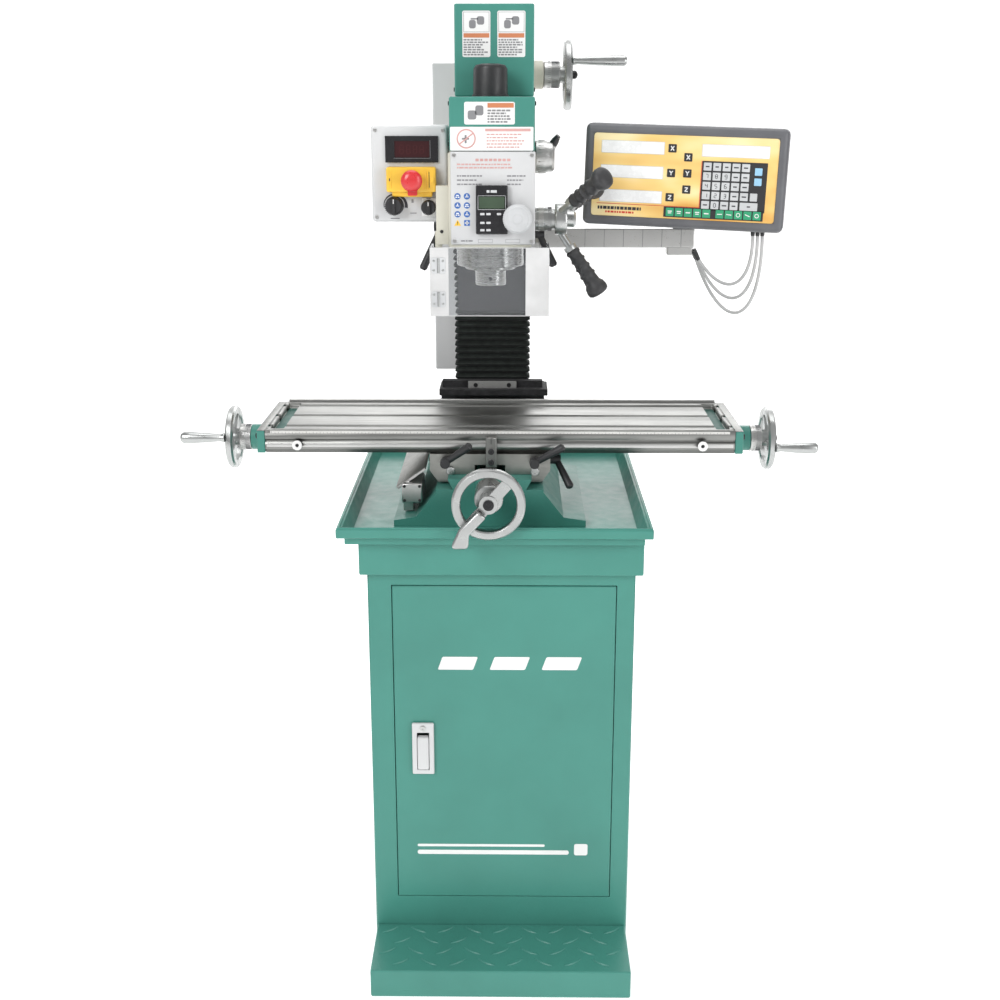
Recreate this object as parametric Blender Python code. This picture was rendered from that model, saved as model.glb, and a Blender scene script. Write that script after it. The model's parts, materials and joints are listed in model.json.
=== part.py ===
"""Bench-class vertical milling machine on a cabinet stand with chip tray and a digital readout.

Metres in Blender, millimetres in the numbers below. X is the table's long travel, -Y is the
operator's side, +Z is up and the floor is z = 0.
"""

import math

import bmesh
import bpy
from mathutils import Matrix, Vector

# ---------------------------------------------------------------- driving dimensions (mm)
MACHINE_X = -12.0          # spindle, column and base centre plane
TABLE_X = 2.0              # table centre at rest
STAND_X = 5.0              # cabinet centre
TRAY_X = -4.0
SPINDLE_Y = -8.0
STAND_HALF = 190.0
STAND_FRONT = -176.0
STAND_BACK = 215.0
STAND_TOP = 612.0
STEP_FRONT = -285.0
STEP_TOP = 44.0
CAP_TOP = 662.7
TRAY_HALF = 219.0
TRAY_FRONT = -209.0
TRAY_BACK = 285.0
TRAY_FLOOR = 665.0
TRAY_TOP = 688.0
BASE_TOP = 720.0
SADDLE_Z0 = 724.0
SADDLE_Z1 = 765.5
TABLE_Z0 = 766.0
TABLE_Z1 = 800.0
TABLE_LENGTH = 676.0
TABLE_DEPTH = 180.0
SLOT_PITCH = 63.0
SCREW_Z = 766.5            # table feed screw
SCREW_Y_Z = 728.0          # cross feed screw
COLUMN_HALF = 52.0
COLUMN_FRONT = 185.0
COLUMN_BACK = 272.0
COLUMN_TOP = 1350.0
WAY_FRONT = 165.0
HEAD_HALF = 58.0
HEAD_FRONT = -79.0
HEAD_BACK = 128.0
HEAD_Z0 = 1058.0
HEAD_Z1 = 1191.0
COVER_Z1 = 1264.0
MOTOR_TOP = 1392.0
QUILL_R = 37.0
NOSE_Z = 998.0
CONTROL_FRONT = -42.0
HUB_Z = 1093.0
LEVER_REACH = 107.0
FIT = 0.3
RIM_WIDTH = 12.0           # hand wheel rim, across its face
BAR_ANGLE = 49.0           # the bar across each hand wheel, from the horizontal
BAR_HALF = 8.0
DRO_PIN = (288.0, 149.0)
CABLE_R = 2.4
# free ends of the three readout leads: under the display, under the arm, and the slack between them
CABLES = (
    ((384.0, 80.0, 1066.2), (305.0, 143.5, 1030.0), 96.0),
    ((391.0, 78.5, 1066.2), (305.0, 149.5, 1031.0), 130.0),
    ((398.0, 77.0, 1066.2), (305.0, 155.5, 1032.0), 166.0),
)

PAINTS = {
    "green": ((0.045, 0.30, 0.22), 0.45, 0.0),
    "cream": ((0.72, 0.70, 0.62), 0.5, 0.0),
    "grey": ((0.62, 0.63, 0.62), 0.5, 0.0),
    "steel": ((0.55, 0.55, 0.54), 0.3, 1.0),
    "iron": ((0.38, 0.38, 0.37), 0.45, 1.0),
    "chrome": ((0.8, 0.8, 0.8), 0.12, 1.0),
    "black": ((0.02, 0.02, 0.02), 0.45, 0.0),
    "rubber": ((0.015, 0.015, 0.015), 0.8, 0.0),
    "yellow": ((0.8, 0.55, 0.02), 0.45, 0.0),
    "red": ((0.6, 0.02, 0.02), 0.35, 0.0),
    "clear": ((0.85, 0.88, 0.9), 0.1, 0.0),
    "cable": ((0.6, 0.6, 0.58), 0.5, 0.0),
}

for old in list(bpy.data.objects):
    bpy.data.objects.remove(old, do_unlink=True)

PARTS = bpy.data.collections.new("vertical_milling_machine")
CUTTERS = bpy.data.collections.new("cutters")
bpy.context.scene.collection.children.link(PARTS)
bpy.context.scene.collection.children.link(CUTTERS)
CUTTERS.hide_render = True


# ---------------------------------------------------------------- shape helpers
def new_object(name, bm, paint):
    """One named object from a bmesh in millimetres; paint None makes a cutter."""
    bmesh.ops.remove_doubles(bm, verts=bm.verts, dist=0.001)
    bmesh.ops.recalc_face_normals(bm, faces=bm.faces)
    bmesh.ops.scale(bm, vec=(0.001, 0.001, 0.001), verts=bm.verts)
    mesh = bpy.data.meshes.new(name)
    bm.to_mesh(mesh)
    bm.free()
    obj = bpy.data.objects.new(name, mesh)
    if paint is None:
        CUTTERS.objects.link(obj)
        obj.hide_render = True
        obj.display_type = "WIRE"
        return obj
    PARTS.objects.link(obj)
    colour, roughness, metallic = PAINTS[paint]
    material = bpy.data.materials.new(name)
    material.use_nodes = True
    shader = material.node_tree.nodes["Principled BSDF"]
    shader.inputs["Base Color"].default_value = (*colour, 1.0)
    shader.inputs["Roughness"].default_value = roughness
    shader.inputs["Metallic"].default_value = metallic
    if paint == "clear":
        shader.inputs["Transmission Weight"].default_value = 0.9
    material.diffuse_color = (*colour, 1.0)
    mesh.materials.append(material)
    return obj


def smooth(obj, degrees=32.0):
    obj.data.shade_smooth()
    obj.data.set_sharp_from_angle(angle=math.radians(degrees))


def box(name, x, y, z, paint=None, bevel=0.0, segments=2):
    """Box between the pairs x, y and z, with all its edges rounded by bevel."""
    bm = bmesh.new()
    bmesh.ops.create_cube(bm, size=1.0)
    size = (x[1] - x[0], y[1] - y[0], z[1] - z[0])
    bmesh.ops.scale(bm, vec=size, verts=bm.verts)
    centre = ((x[0] + x[1]) / 2, (y[0] + y[1]) / 2, (z[0] + z[1]) / 2)
    bmesh.ops.translate(bm, vec=centre, verts=bm.verts)
    if bevel:
        bmesh.ops.bevel(bm, geom=bm.edges[:], offset=bevel, segments=segments, profile=0.5, affect="EDGES")
    obj = new_object(name, bm, paint)
    if bevel:
        smooth(obj, 50.0)
    return obj


def prism(name, axis, points, span, paint=None, bevel=0.0):
    """Outline extruded along an axis: (x, y) along Z, (x, z) along Y or (y, z) along X."""
    bm = bmesh.new()
    rows = []
    for level in span:
        row = []
        for u, v in points:
            place = {"Z": (u, v, level), "Y": (u, level, v), "X": (level, u, v)}[axis]
            row.append(bm.verts.new(place))
        rows.append(row)
    count = len(points)
    bm.faces.new(rows[0])
    bm.faces.new(list(reversed(rows[1])))
    for i in range(count):
        j = (i + 1) % count
        bm.faces.new((rows[0][i], rows[0][j], rows[1][j], rows[1][i]))
    bmesh.ops.recalc_face_normals(bm, faces=bm.faces)
    if bevel:
        bmesh.ops.bevel(bm, geom=bm.edges[:], offset=bevel, segments=1, profile=0.5, affect="EDGES")
    return new_object(name, bm, paint)


def turned(name, axis, centre, profile, paint=None, steps=32, turn=None):
    """Solid of revolution: profile is (radius, distance along axis) from one end to the other."""
    bm = bmesh.new()
    rings = []
    for radius, along in profile:
        if radius < 1e-6:
            rings.append([bm.verts.new((0.0, 0.0, along))])
            continue
        ring = []
        for i in range(steps):
            angle = 2.0 * math.pi * i / steps
            ring.append(bm.verts.new((radius * math.cos(angle), radius * math.sin(angle), along)))
        rings.append(ring)
    for first, second in zip(rings, rings[1:]):
        for i in range(steps):
            j = (i + 1) % steps
            if len(first) == len(second) == 1:
                continue
            if len(first) == 1:
                bm.faces.new((first[0], second[i], second[j]))
            elif len(second) == 1:
                bm.faces.new((first[i], first[j], second[0]))
            else:
                bm.faces.new((first[i], first[j], second[j], second[i]))
    if len(rings[0]) > 1 and profile[0] != profile[-1]:
        bm.faces.new(rings[0])
    if len(rings[-1]) > 1 and profile[0] != profile[-1]:
        bm.faces.new(rings[-1])
    if axis == "X":
        spin = Matrix.Rotation(math.pi / 2, 4, "Y")
    elif axis == "Y":
        spin = Matrix.Rotation(-math.pi / 2, 4, "X")
    else:
        spin = Matrix.Identity(4)
    if turn is not None:
        spin = turn @ spin
    bmesh.ops.transform(bm, matrix=Matrix.Translation(Vector(centre)) @ spin, verts=bm.verts)
    obj = new_object(name, bm, paint)
    smooth(obj)
    return obj


def rod(name, start, end, radii, paint=None, steps=16):
    """Round bar from start to end; radii lists (share of the length, radius)."""
    a = Vector(start)
    b = Vector(end)
    length = (b - a).length
    profile = [(radius, share * length) for share, radius in radii]
    turn = (b - a).to_track_quat("Z", "Y").to_matrix().to_4x4()
    return turned(name, "Z", a, profile, paint, steps, turn)


def boolean(obj, others, operation):
    for number, other in enumerate(others):
        if other.name in PARTS.objects:
            PARTS.objects.unlink(other)
            CUTTERS.objects.link(other)
        other.hide_render = True
        other.display_type = "WIRE"
        change = obj.modifiers.new(f"{operation.lower()}_{number}", "BOOLEAN")
        change.operation = operation
        change.solver = "EXACT"
        change.object = other


def cut(obj, *others):
    boolean(obj, others, "DIFFERENCE")


def join(obj, *others):
    boolean(obj, others, "UNION")


def pivot(obj, point):
    """Puts the object's origin on its joint axis without moving the mesh."""
    place = Vector(point) * 0.001
    obj.data.transform(Matrix.Translation(-place))
    obj.location = place


def tube(name, points, radius, paint):
    """Free cord through the points (mm), as one closed round tube."""
    curve = bpy.data.curves.new(name, "CURVE")
    curve.dimensions = "3D"
    curve.bevel_depth = radius * 0.001
    curve.bevel_resolution = 2
    curve.use_fill_caps = True
    spline = curve.splines.new("POLY")
    spline.points.add(len(points) - 1)
    for point, place in zip(spline.points, points):
        point.co = (*(Vector(place) * 0.001), 1.0)
    obj = bpy.data.objects.new(name, curve)
    PARTS.objects.link(obj)
    colour, roughness, metallic = PAINTS[paint]
    material = bpy.data.materials.new(name)
    material.use_nodes = True
    shader = material.node_tree.nodes["Principled BSDF"]
    shader.inputs["Base Color"].default_value = (*colour, 1.0)
    shader.inputs["Roughness"].default_value = roughness
    curve.materials.append(material)
    return obj


# ---------------------------------------------------------------- stand
def make_stand():
    x0 = STAND_X - STAND_HALF
    x1 = STAND_X + STAND_HALF
    cabinet = box("stand_cabinet", (x0, x1), (STAND_FRONT, STAND_BACK), (0.0, STAND_TOP), "green", 2.0, 1)
    inside = box("cabinet_inside", (x0 + 3, x1 - 3), (STAND_FRONT + 3, STAND_BACK - 3), (40.0, STAND_TOP - 3))
    doorway = box("cabinet_doorway", (x0 + 34, x1 - 26), (STAND_FRONT - 20, STAND_FRONT + 20), (92.0, 594.0))
    cut(cabinet, inside, doorway)
    cap = box(
        "stand_cap",
        (STAND_X - 200, STAND_X + 200),
        (STAND_FRONT - 11, STAND_BACK + 11),
        (STAND_TOP + FIT, CAP_TOP),
        "green",
        2.5,
        2,
    )
    step = box(
        "stand_step",
        (STAND_X - 188, STAND_X + 188),
        (STEP_FRONT, STAND_FRONT - FIT),
        (0.0, STEP_TOP),
        "green",
        2.5,
        2,
    )
    step_inside = box(
        "step_inside",
        (STAND_X - 184, STAND_X + 184),
        (STEP_FRONT + 4, STAND_FRONT - 4.5),
        (-10.0, STEP_TOP - 4),
    )
    cut(step, step_inside)
    door = box(
        "cabinet_door",
        (x0 + 35, x1 - 27),
        (STAND_FRONT - 1.5, STAND_FRONT + 14.0),
        (93.0, 593.0),
        "green",
        1.2,
        1,
    )
    door_pan = box("door_pan", (x0 + 38, x1 - 30), (STAND_FRONT + 1, STAND_FRONT + 30), (96.0, 590.0))
    latch_hole = box("latch_hole", (-122.0, -97.0), (STAND_FRONT - 9, STAND_FRONT + 10), (306.0, 376.0))
    cut(door, door_pan, latch_hole)
    pivot(door, (x1 - 27, STAND_FRONT - 1.5, 343.0))
    latch = box(
        "door_latch_housing",
        (-125.0, -93.0),
        (STAND_FRONT - 6.5, STAND_FRONT - 1.8),
        (300.0, 382.0),
        "grey",
        1.6,
        2,
    )
    well = box("latch_well", (-118.0, -100.0), (STAND_FRONT - 12, STAND_FRONT + 20), (307.0, 367.0))
    body = box("latch_body", (-121.5, -97.5), (STAND_FRONT - 3, STAND_FRONT + 16), (306.5, 375.5))
    join(latch, body)
    cut(latch, well)
    lever = box(
        "door_latch_lever",
        (-117.3, -100.7),
        (STAND_FRONT - 8.5, STAND_FRONT + 1.0),
        (308.0, 360.5),
        "grey",
        2.0,
        2,
    )
    pivot(lever, (-109.0, STAND_FRONT + 1.0, 360.5))
    tray = box(
        "chip_tray",
        (TRAY_X - TRAY_HALF, TRAY_X + TRAY_HALF),
        (TRAY_FRONT, TRAY_BACK),
        (674.0, TRAY_TOP),
        "green",
        1.5,
        1,
    )
    lower = box(
        "tray_lower",
        (TRAY_X - 208, TRAY_X + 208),
        (TRAY_FRONT + 9, TRAY_BACK - 9),
        (CAP_TOP + FIT, 680.0),
    )
    join(tray, lower)
    bm = bmesh.new()
    rings = []
    for inset, z in ((7.5, TRAY_TOP + 4), (7.5, TRAY_TOP), (9.0, TRAY_TOP - 2), (16.0, TRAY_FLOOR)):
        ring = []
        for sx, sy in ((-1, -1), (1, -1), (1, 1), (-1, 1)):
            x = TRAY_X + sx * (TRAY_HALF - inset)
            y = (TRAY_FRONT + inset) if sy < 0 else (TRAY_BACK - inset)
            ring.append(bm.verts.new((x, y, z)))
        rings.append(ring)
    bm.faces.new(rings[0])
    bm.faces.new(rings[-1])
    for first, second in zip(rings, rings[1:]):
        for i in range(4):
            j = (i + 1) % 4
            bm.faces.new((first[i], first[j], second[j], second[i]))
    cut(tray, new_object("tray_hollow", bm, None))


# ---------------------------------------------------------------- base, column and what stays on them
def make_frame():
    foot = [
        (-138, 665.3), (138, 665.3), (138, 674), (106, 679), (77, 716), (77, BASE_TOP),
        (52, BASE_TOP), (60, 735), (-60, 735), (-52, BASE_TOP),
        (-77, BASE_TOP), (-77, 716), (-106, 679), (-138, 674),
    ]
    foot = [(MACHINE_X + x, z) for x, z in foot]
    base = prism("mill_base", "Y", foot, (-127.0, 160.0), "green")
    heel = box("base_heel", (MACHINE_X - 100, MACHINE_X + 100), (150.0, 266.0), (665.3, 716.0), None, 4.0, 1)
    boss = turned(
        "base_boss", "Y", (MACHINE_X, 0, SCREW_Y_Z), [(0, -158), (17, -158), (18, -157), (20, -130), (20, -110), (0, -110)]
    )
    join(base, heel, boss)
    tunnel = box("base_tunnel", (MACHINE_X - 24, MACHINE_X + 24), (-118.0, 148.0), (690.0, 760.0))
    hole = turned("base_hole", "Y", (MACHINE_X, 0, SCREW_Y_Z), [(0, -170), (9, -170), (9, -100), (0, -100)])
    cut(base, tunnel, hole)
    way = [
        (-COLUMN_HALF, COLUMN_BACK), (-COLUMN_HALF, COLUMN_FRONT), (-32, COLUMN_FRONT), (-42, WAY_FRONT),
        (42, WAY_FRONT), (32, COLUMN_FRONT), (COLUMN_HALF, COLUMN_FRONT), (COLUMN_HALF, COLUMN_BACK),
    ]
    way = [(MACHINE_X + x, y) for x, y in way]
    column = prism("column", "Z", way, (716.3, COLUMN_TOP), "cream")
    pedestal = box(
        "column_foot", (MACHINE_X - 70, MACHINE_X + 70), (182.0, 270.0), (716.3, 790.0), None, 3.0, 1
    )
    shaft_hole = turned(
        "column_bore", "X", (0, 223.0, 1299.0), [(0, -20), (9.5, -20), (9.5, 80), (0, 80)]
    )
    boss = turned(
        "column_boss", "X", (0, 223.0, 1299.0), [(0, 20), (22, 20), (22, 66), (20, 68), (0, 68)]
    )
    join(column, pedestal, boss)
    cut(column, shaft_hole)
    strip = box("z_scale_cover", (-106.0, -64.3), (186.0, 212.0), (831.0, 1316.0), "grey", 2.0, 2)
    wheel = hand_wheel("z_handwheel", "X", (0, 223.0, 1299.0), 54.5, 100.0, 12.0, 1, 68.4, (94.0, 20.0))
    stem = turned("z_stem", "X", (0, 223.0, 1299.0), [(0, -15), (9, -15), (9, 75), (0, 75)])
    join(wheel, stem)
    pivot(wheel, (0, 223.0, 1299.0))
    grip_at("z_handwheel_grip", "X", (112.3, 223.0 - 44.7, 1299.0 + 20.0), 1, 83.0, "chrome")
    make_bellows()
    flap_x = (MACHINE_X - 84, MACHINE_X + 88)
    flap = box("rear_way_cover", flap_x, (104.0, 164.4), (805.0, 815.5), "black", 0.8, 1)
    riser = box("cover_riser", (MACHINE_X - 80, MACHINE_X + 80), (120.0, 135.6), (812.0, 826.0), None, 0.8, 1)
    clamp = box("cover_clamp", (MACHINE_X - 39, MACHINE_X + 39), (113.0, 122.0), (813.0, 827.5), None, 0.8, 1)
    skirt = box("cover_skirt", (MACHINE_X - 84, MACHINE_X + 84), (160.0, 164.4), (762.0, 808.0))
    tabs = [
        box(f"cover_tab_{side}", sorted((MACHINE_X + side * 43, MACHINE_X + side * 84)), (160.0, 184.6), (806.0, 812.0))
        for side in (-1, 1)
    ]
    join(flap, riser, clamp, skirt, *tabs)
    scale = box("y_scale_reader", (-138.0, -109.0), (-122.0, -66.0), (698.5, 727.5), "grey", 1.5, 1)
    rail = box("y_scale_rail", (-138.0, -124.0), (-100.0, 110.0), (680.0, 722.0))
    cover = prism("y_scale_flap", "Y", [(-147, 719), (-144, 716), (-104, 745), (-105, 748)], (-112.0, 70.0))
    join(scale, rail, cover)


def make_bellows():
    """Pleated way cover in front of the column, open to nothing: one closed stack of folds."""
    pleats = 22
    z0 = 818.0
    z1 = 1049.4
    bm = bmesh.new()
    rings = []
    for k in range(2 * pleats + 1):
        out = k % 2 == 0
        half = 60.0 if out else 54.0
        front = 136.0 if out else 144.0
        z = z0 + (z1 - z0) * k / (2 * pleats)
        ring = [
            bm.verts.new((MACHINE_X + x, y, z))
            for x, y in ((-half, front), (half, front), (half, 164.3), (-half, 164.3))
        ]
        rings.append(ring)
    bm.faces.new(rings[0])
    bm.faces.new(rings[-1])
    for first, second in zip(rings, rings[1:]):
        for i in range(4):
            j = (i + 1) % 4
            bm.faces.new((first[i], first[j], second[j], second[i]))
    new_object("column_bellows", bm, "rubber")


# ---------------------------------------------------------------- hand wheels and grips
def hand_wheel(name, axis, centre, radius, rim_at, thick, out, start, dial):
    """Flat rim, one bar across, hub and graduated dial on one shaft; out is +1 or -1 along the axis.

    rim_at and start are distances along the axis from centre, dial is (end, radius).
    """
    half = thick / 2
    mid = out * (rim_at + half)
    rim = turned(
        name,
        axis,
        centre,
        [
            (radius - RIM_WIDTH, mid - half + 1.5), (radius - RIM_WIDTH + 1.5, mid - half), (radius - 2.5, mid - half),
            (radius, mid - half + 2.5), (radius, mid + half - 2.5), (radius - 2.5, mid + half),
            (radius - RIM_WIDTH + 1.5, mid + half), (radius - RIM_WIDTH, mid + half - 1.5),
            (radius - RIM_WIDTH, mid - half + 1.5),
        ],
        "chrome",
        40,
    )
    low, high = sorted((out * start, out * dial[0]))
    hub_low, hub_high = sorted((out * (dial[0] - 4), mid + out * (half - 1)))
    drum = turned(
        name + "_dial",
        axis,
        centre,
        [(0, low), (dial[1] - 1, low), (dial[1], low + 1), (dial[1], high - 1), (dial[1] - 1, high), (0, high)],
    )
    hub = turned(name + "_hub", axis, centre, [(0, hub_low), (13, hub_low), (13, hub_high), (0, hub_high)], None, 24)
    c = math.cos(math.radians(BAR_ANGLE))
    d = math.sin(math.radians(BAR_ANGLE))
    u0, v0 = (centre[1], centre[2]) if axis == "X" else (centre[0], centre[2])
    reach = radius - 4
    outline = [
        (u0 + i * reach * c - j * BAR_HALF * d, v0 + i * reach * d + j * BAR_HALF * c)
        for i, j in ((-1, -1), (1, -1), (1, 1), (-1, 1))
    ]
    bar = prism(name + "_bar", axis, outline, (mid - 3.0, mid + 3.0))
    join(rim, drum, hub, bar)
    return rim


def grip_at(name, axis, start, out, length, paint):
    """Tapered revolving handle that starts at a point on a rim and points along the axis."""
    profile = [
        (0, 0), (6.5, 0), (7, 1.5), (5.5, 7), (7, length * 0.35), (8.5, length * 0.75),
        (8.5, length - 4), (6, length), (0, length),
    ]
    if out < 0:
        profile = [(r, -d) for r, d in reversed(profile)]
    grip = turned(name, axis, start, profile, paint, 20)
    pivot(grip, start)
    return grip


def make_cross_feed():
    centre = (MACHINE_X, 0.0, SCREW_Y_Z)
    wheel = hand_wheel("y_handwheel", "Y", centre, 50.5, 213.0, 12.0, -1, 158.4, (200.0, 20.0))
    stem = turned("y_stem", "Y", centre, [(0, -170), (7, -170), (7, 140), (0, 140)], None, 20)
    join(wheel, stem)
    pivot(wheel, (MACHINE_X, -158.4, SCREW_Y_Z))
    outline = [
        (-15.0, 713.0), (-26.0, 722.0), (-52.0, 696.0), (-62.0, 674.0), (-60.0, 668.5), (-42.0, 668.5),
        (-39.0, 673.0), (-38.5, 688.0),
    ]
    crank = prism("y_crank_handle", "Y", outline, (-236.0, -226.0), "chrome", 2.0)
    pivot(crank, (-20.5, -226.0, 717.5))


# ---------------------------------------------------------------- saddle and table
def lock_lever(name, axis, centre, out, hub, arm_end, length=0.0):
    """Ratchet lock lever: round hub standing out along the axis and one tapered arm."""
    a, b = sorted((0.0, out * hub))
    lever = turned(name, axis, centre, [(0, a), (7, a), (7.5, (a + b) / 2), (6.5, b), (0, b)], "black", 20)
    root = Vector(centre)
    root["XYZ".index(axis)] += out * hub * 0.6
    arm = rod(name + "_arm", root, arm_end, [(0, 0), (0, 4.5), (0.6, 5.5), (0.95, 6), (1, 4), (1, 0)], None, 14)
    join(lever, arm)
    pivot(lever, centre)
    return lever


def make_saddle():
    x0 = MACHINE_X - 87
    x1 = MACHINE_X + 87
    saddle = prism(
        "saddle",
        "Y",
        [(x0, SADDLE_Z0 + 17), (x0 + 12, SADDLE_Z0), (x1 - 12, SADDLE_Z0), (x1, SADDLE_Z0 + 17), (x1, SADDLE_Z1), (x0, SADDLE_Z1)],
        (-100.0, 82.0),
        "iron",
    )
    ways = [(-50, 750), (50, 750), (50, SADDLE_Z1 + 0.5), (55.4, SADDLE_Z1 + 8), (-55.4, SADDLE_Z1 + 8), (-50, SADDLE_Z1 + 0.5)]
    ways = [(SPINDLE_Y + y, z) for y, z in ways]
    top = prism("saddle_way", "X", ways, (x0, x1))
    nut = box("saddle_nut", (MACHINE_X - 16, MACHINE_X + 16), (-30.0, 30.0), (708.0, 738.0))
    join(saddle, top, nut)
    groove = [
        (MACHINE_X - 52.4, SADDLE_Z0 - 10), (MACHINE_X - 52.4, BASE_TOP + 0.4), (MACHINE_X - 60.4, 735.4),
        (MACHINE_X + 60.4, 735.4), (MACHINE_X + 52.4, BASE_TOP + 0.4), (MACHINE_X + 52.4, SADDLE_Z0 - 10),
    ]
    slot_a = prism("saddle_groove_a", "Y", groove, (-110.0, -30.3))
    slot_b = prism("saddle_groove_b", "Y", groove, (30.3, 120.0))
    left = [(MACHINE_X - 62, 700), (MACHINE_X - 16.3, 700), (MACHINE_X - 16.3, 735.4), (MACHINE_X - 60.4, 735.4)]
    slot_c = prism("saddle_groove_c", "Y", left, (-31.0, 31.0))
    right = [(2 * MACHINE_X - x, z) for x, z in left]
    slot_d = prism("saddle_groove_d", "Y", right, (-31.0, 31.0))
    relief = box("saddle_relief", (MACHINE_X - 22, MACHINE_X + 22), (-120.0, -30.4), (700.0, 749.4))
    screw_hole = turned("saddle_screw_hole", "Y", (MACHINE_X, 0, SCREW_Y_Z), [(0, -50), (9.2, -50), (9.2, 50), (0, 50)])
    feed_hole = box("saddle_feed_slot", (-150, 150), (SPINDLE_Y - 7.6, SPINDLE_Y + 7.6), (SCREW_Z - 8, 790.0))
    cut(saddle, slot_a, slot_b, slot_c, slot_d, relief, screw_hole, feed_hole)
    block = box("index_block", (-18.0, -2.0), (-112.0, -100.3), (748.0, 793.0), "iron", 1.2, 1)
    screws = [
        turned(f"index_screw_{z}", "Y", (-10.0, 0, z), [(0, -114), (4.2, -114), (4.2, -110), (0, -110)], None, 16)
        for z in (757.0, 773.0)
    ]
    join(block, *screws)
    lock_lever("x_lock_lever_left", "Y", (-76.0, -100.4, 756.0), -1, 20.0, (-39.0, -124.0, 785.0))
    lock_lever("x_lock_lever_right", "Y", (52.0, -100.4, 756.0), -1, 20.0, (93.0, -124.0, 783.0))
    lock_lever("y_lock_lever", "X", (75.3, -62.0, 748.0), 1, 16.0, (105.0, -94.0, 714.0))


def make_table():
    x0 = TABLE_X - TABLE_LENGTH / 2
    x1 = TABLE_X + TABLE_LENGTH / 2
    y0 = SPINDLE_Y - TABLE_DEPTH / 2
    y1 = SPINDLE_Y + TABLE_DEPTH / 2
    top = TABLE_Z1
    outline = [(y0 + 4, TABLE_Z0), (y0 + 4, 772), (y0, 772), (y0, 782), (y0 + 3, 782), (y0 + 3, 787), (y0, 787), (y0, top)]
    for k in (-1, 0, 1):
        centre = SPINDLE_Y + k * SLOT_PITCH
        outline += [
            (centre - 6, top), (centre - 6, top - 8), (centre - 10, top - 8), (centre - 10, top - 15),
            (centre + 10, top - 15), (centre + 10, top - 8), (centre + 6, top - 8), (centre + 6, top),
        ]
    outline += [(y1, top), (y1, TABLE_Z0 + 6), (y1 - 4, TABLE_Z0 + 6), (y1 - 4, TABLE_Z0)]
    outline += [
        (SPINDLE_Y + 50.5, TABLE_Z0), (SPINDLE_Y + 56.5, TABLE_Z0 + 8.5),
        (SPINDLE_Y - 56.5, TABLE_Z0 + 8.5), (SPINDLE_Y - 50.5, TABLE_Z0),
    ]
    table = prism("table", "X", outline, (x0, x1), "steel")
    troughs = [
        box(f"table_trough_{x:.0f}", (x, x + 20), (y0 + 10, y1 - 10), (top - 9, top + 5), None, 3.0, 2)
        for x in (x0 + 6, x1 - 26)
    ]
    cut(table, *troughs)
    for side, name in ((-1, "left"), (1, "right")):
        end = x0 if side < 0 else x1
        plate = prism(
            f"table_bracket_{name}",
            "X",
            [
                (y0, top - 1), (y0, TABLE_Z0), (SPINDLE_Y - 30, TABLE_Z0), (SPINDLE_Y - 22, 748), (SPINDLE_Y + 22, 748),
                (SPINDLE_Y + 30, TABLE_Z0), (y1, TABLE_Z0), (y1, top - 1),
            ],
            sorted((end + side * FIT, end + side * 12)),
            "green",
            1.0,
        )
        low, high = sorted((side * 8, side * 36))
        boss = turned(
            f"bracket_boss_{name}", "X", (end, SPINDLE_Y, SCREW_Z), [(0, low), (19, low), (19, high), (0, high)], None, 24
        )
        hole = turned(
            f"bracket_hole_{name}", "X", (end, SPINDLE_Y, SCREW_Z), [(0, -60), (7.4, -60), (7.4, 60), (0, 60)], None, 24
        )
        join(plate, boss)
        cut(plate, hole)
        dial_start = abs(end) + 36.4
        centre = (0.0, SPINDLE_Y, SCREW_Z)
        rim_at = 398.0 - (4.0 if side < 0 else 0.0)
        wheel = hand_wheel(
            f"x_handwheel_{name}", "X", centre, 47.0, rim_at, 11.0, side, dial_start, (dial_start + 17, 19.0)
        )
        shaft_hole = turned(
            f"wheel_hole_{name}",
            "X",
            centre,
            [(0, side * 300), (7.4, side * 300), (7.4, side * 385), (0, side * 385)],
            None,
            24,
        )
        cut(wheel, shaft_hole)
        pivot(wheel, centre)
        rim_face = side * (rim_at + 11.3)
        drop = 9.0 if side < 0 else -4.0
        grip_at(
            f"x_handwheel_grip_{name}",
            "X",
            (rim_face, SPINDLE_Y - math.sqrt(42.0**2 - drop**2), SCREW_Z + drop),
            side,
            470.0 - abs(rim_face),
            "chrome",
        )
        turned(
            f"table_stop_{name}",
            "Y",
            (TABLE_X + side * 291.0, 0, 779.0),
            [(0, y0 - 6), (6, y0 - 6), (7, y0 - 5), (7, y0 - 0.3), (0, y0 - 0.3)],
            "chrome",
            20,
        )
    screw = turned(
        "x_leadscrew",
        "X",
        (0, SPINDLE_Y, SCREW_Z),
        [(0, -384.5), (7, -384.5), (7, 384.5), (0, 384.5)],
        "steel",
        24,
    )
    pivot(screw, (0, SPINDLE_Y, SCREW_Z))
    box("x_scale_rail", (x0 + 4, x1 - 2), (y1 + FIT, y1 + 7.5), (776.0, top + 4), "grey", 1.0, 1)


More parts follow.
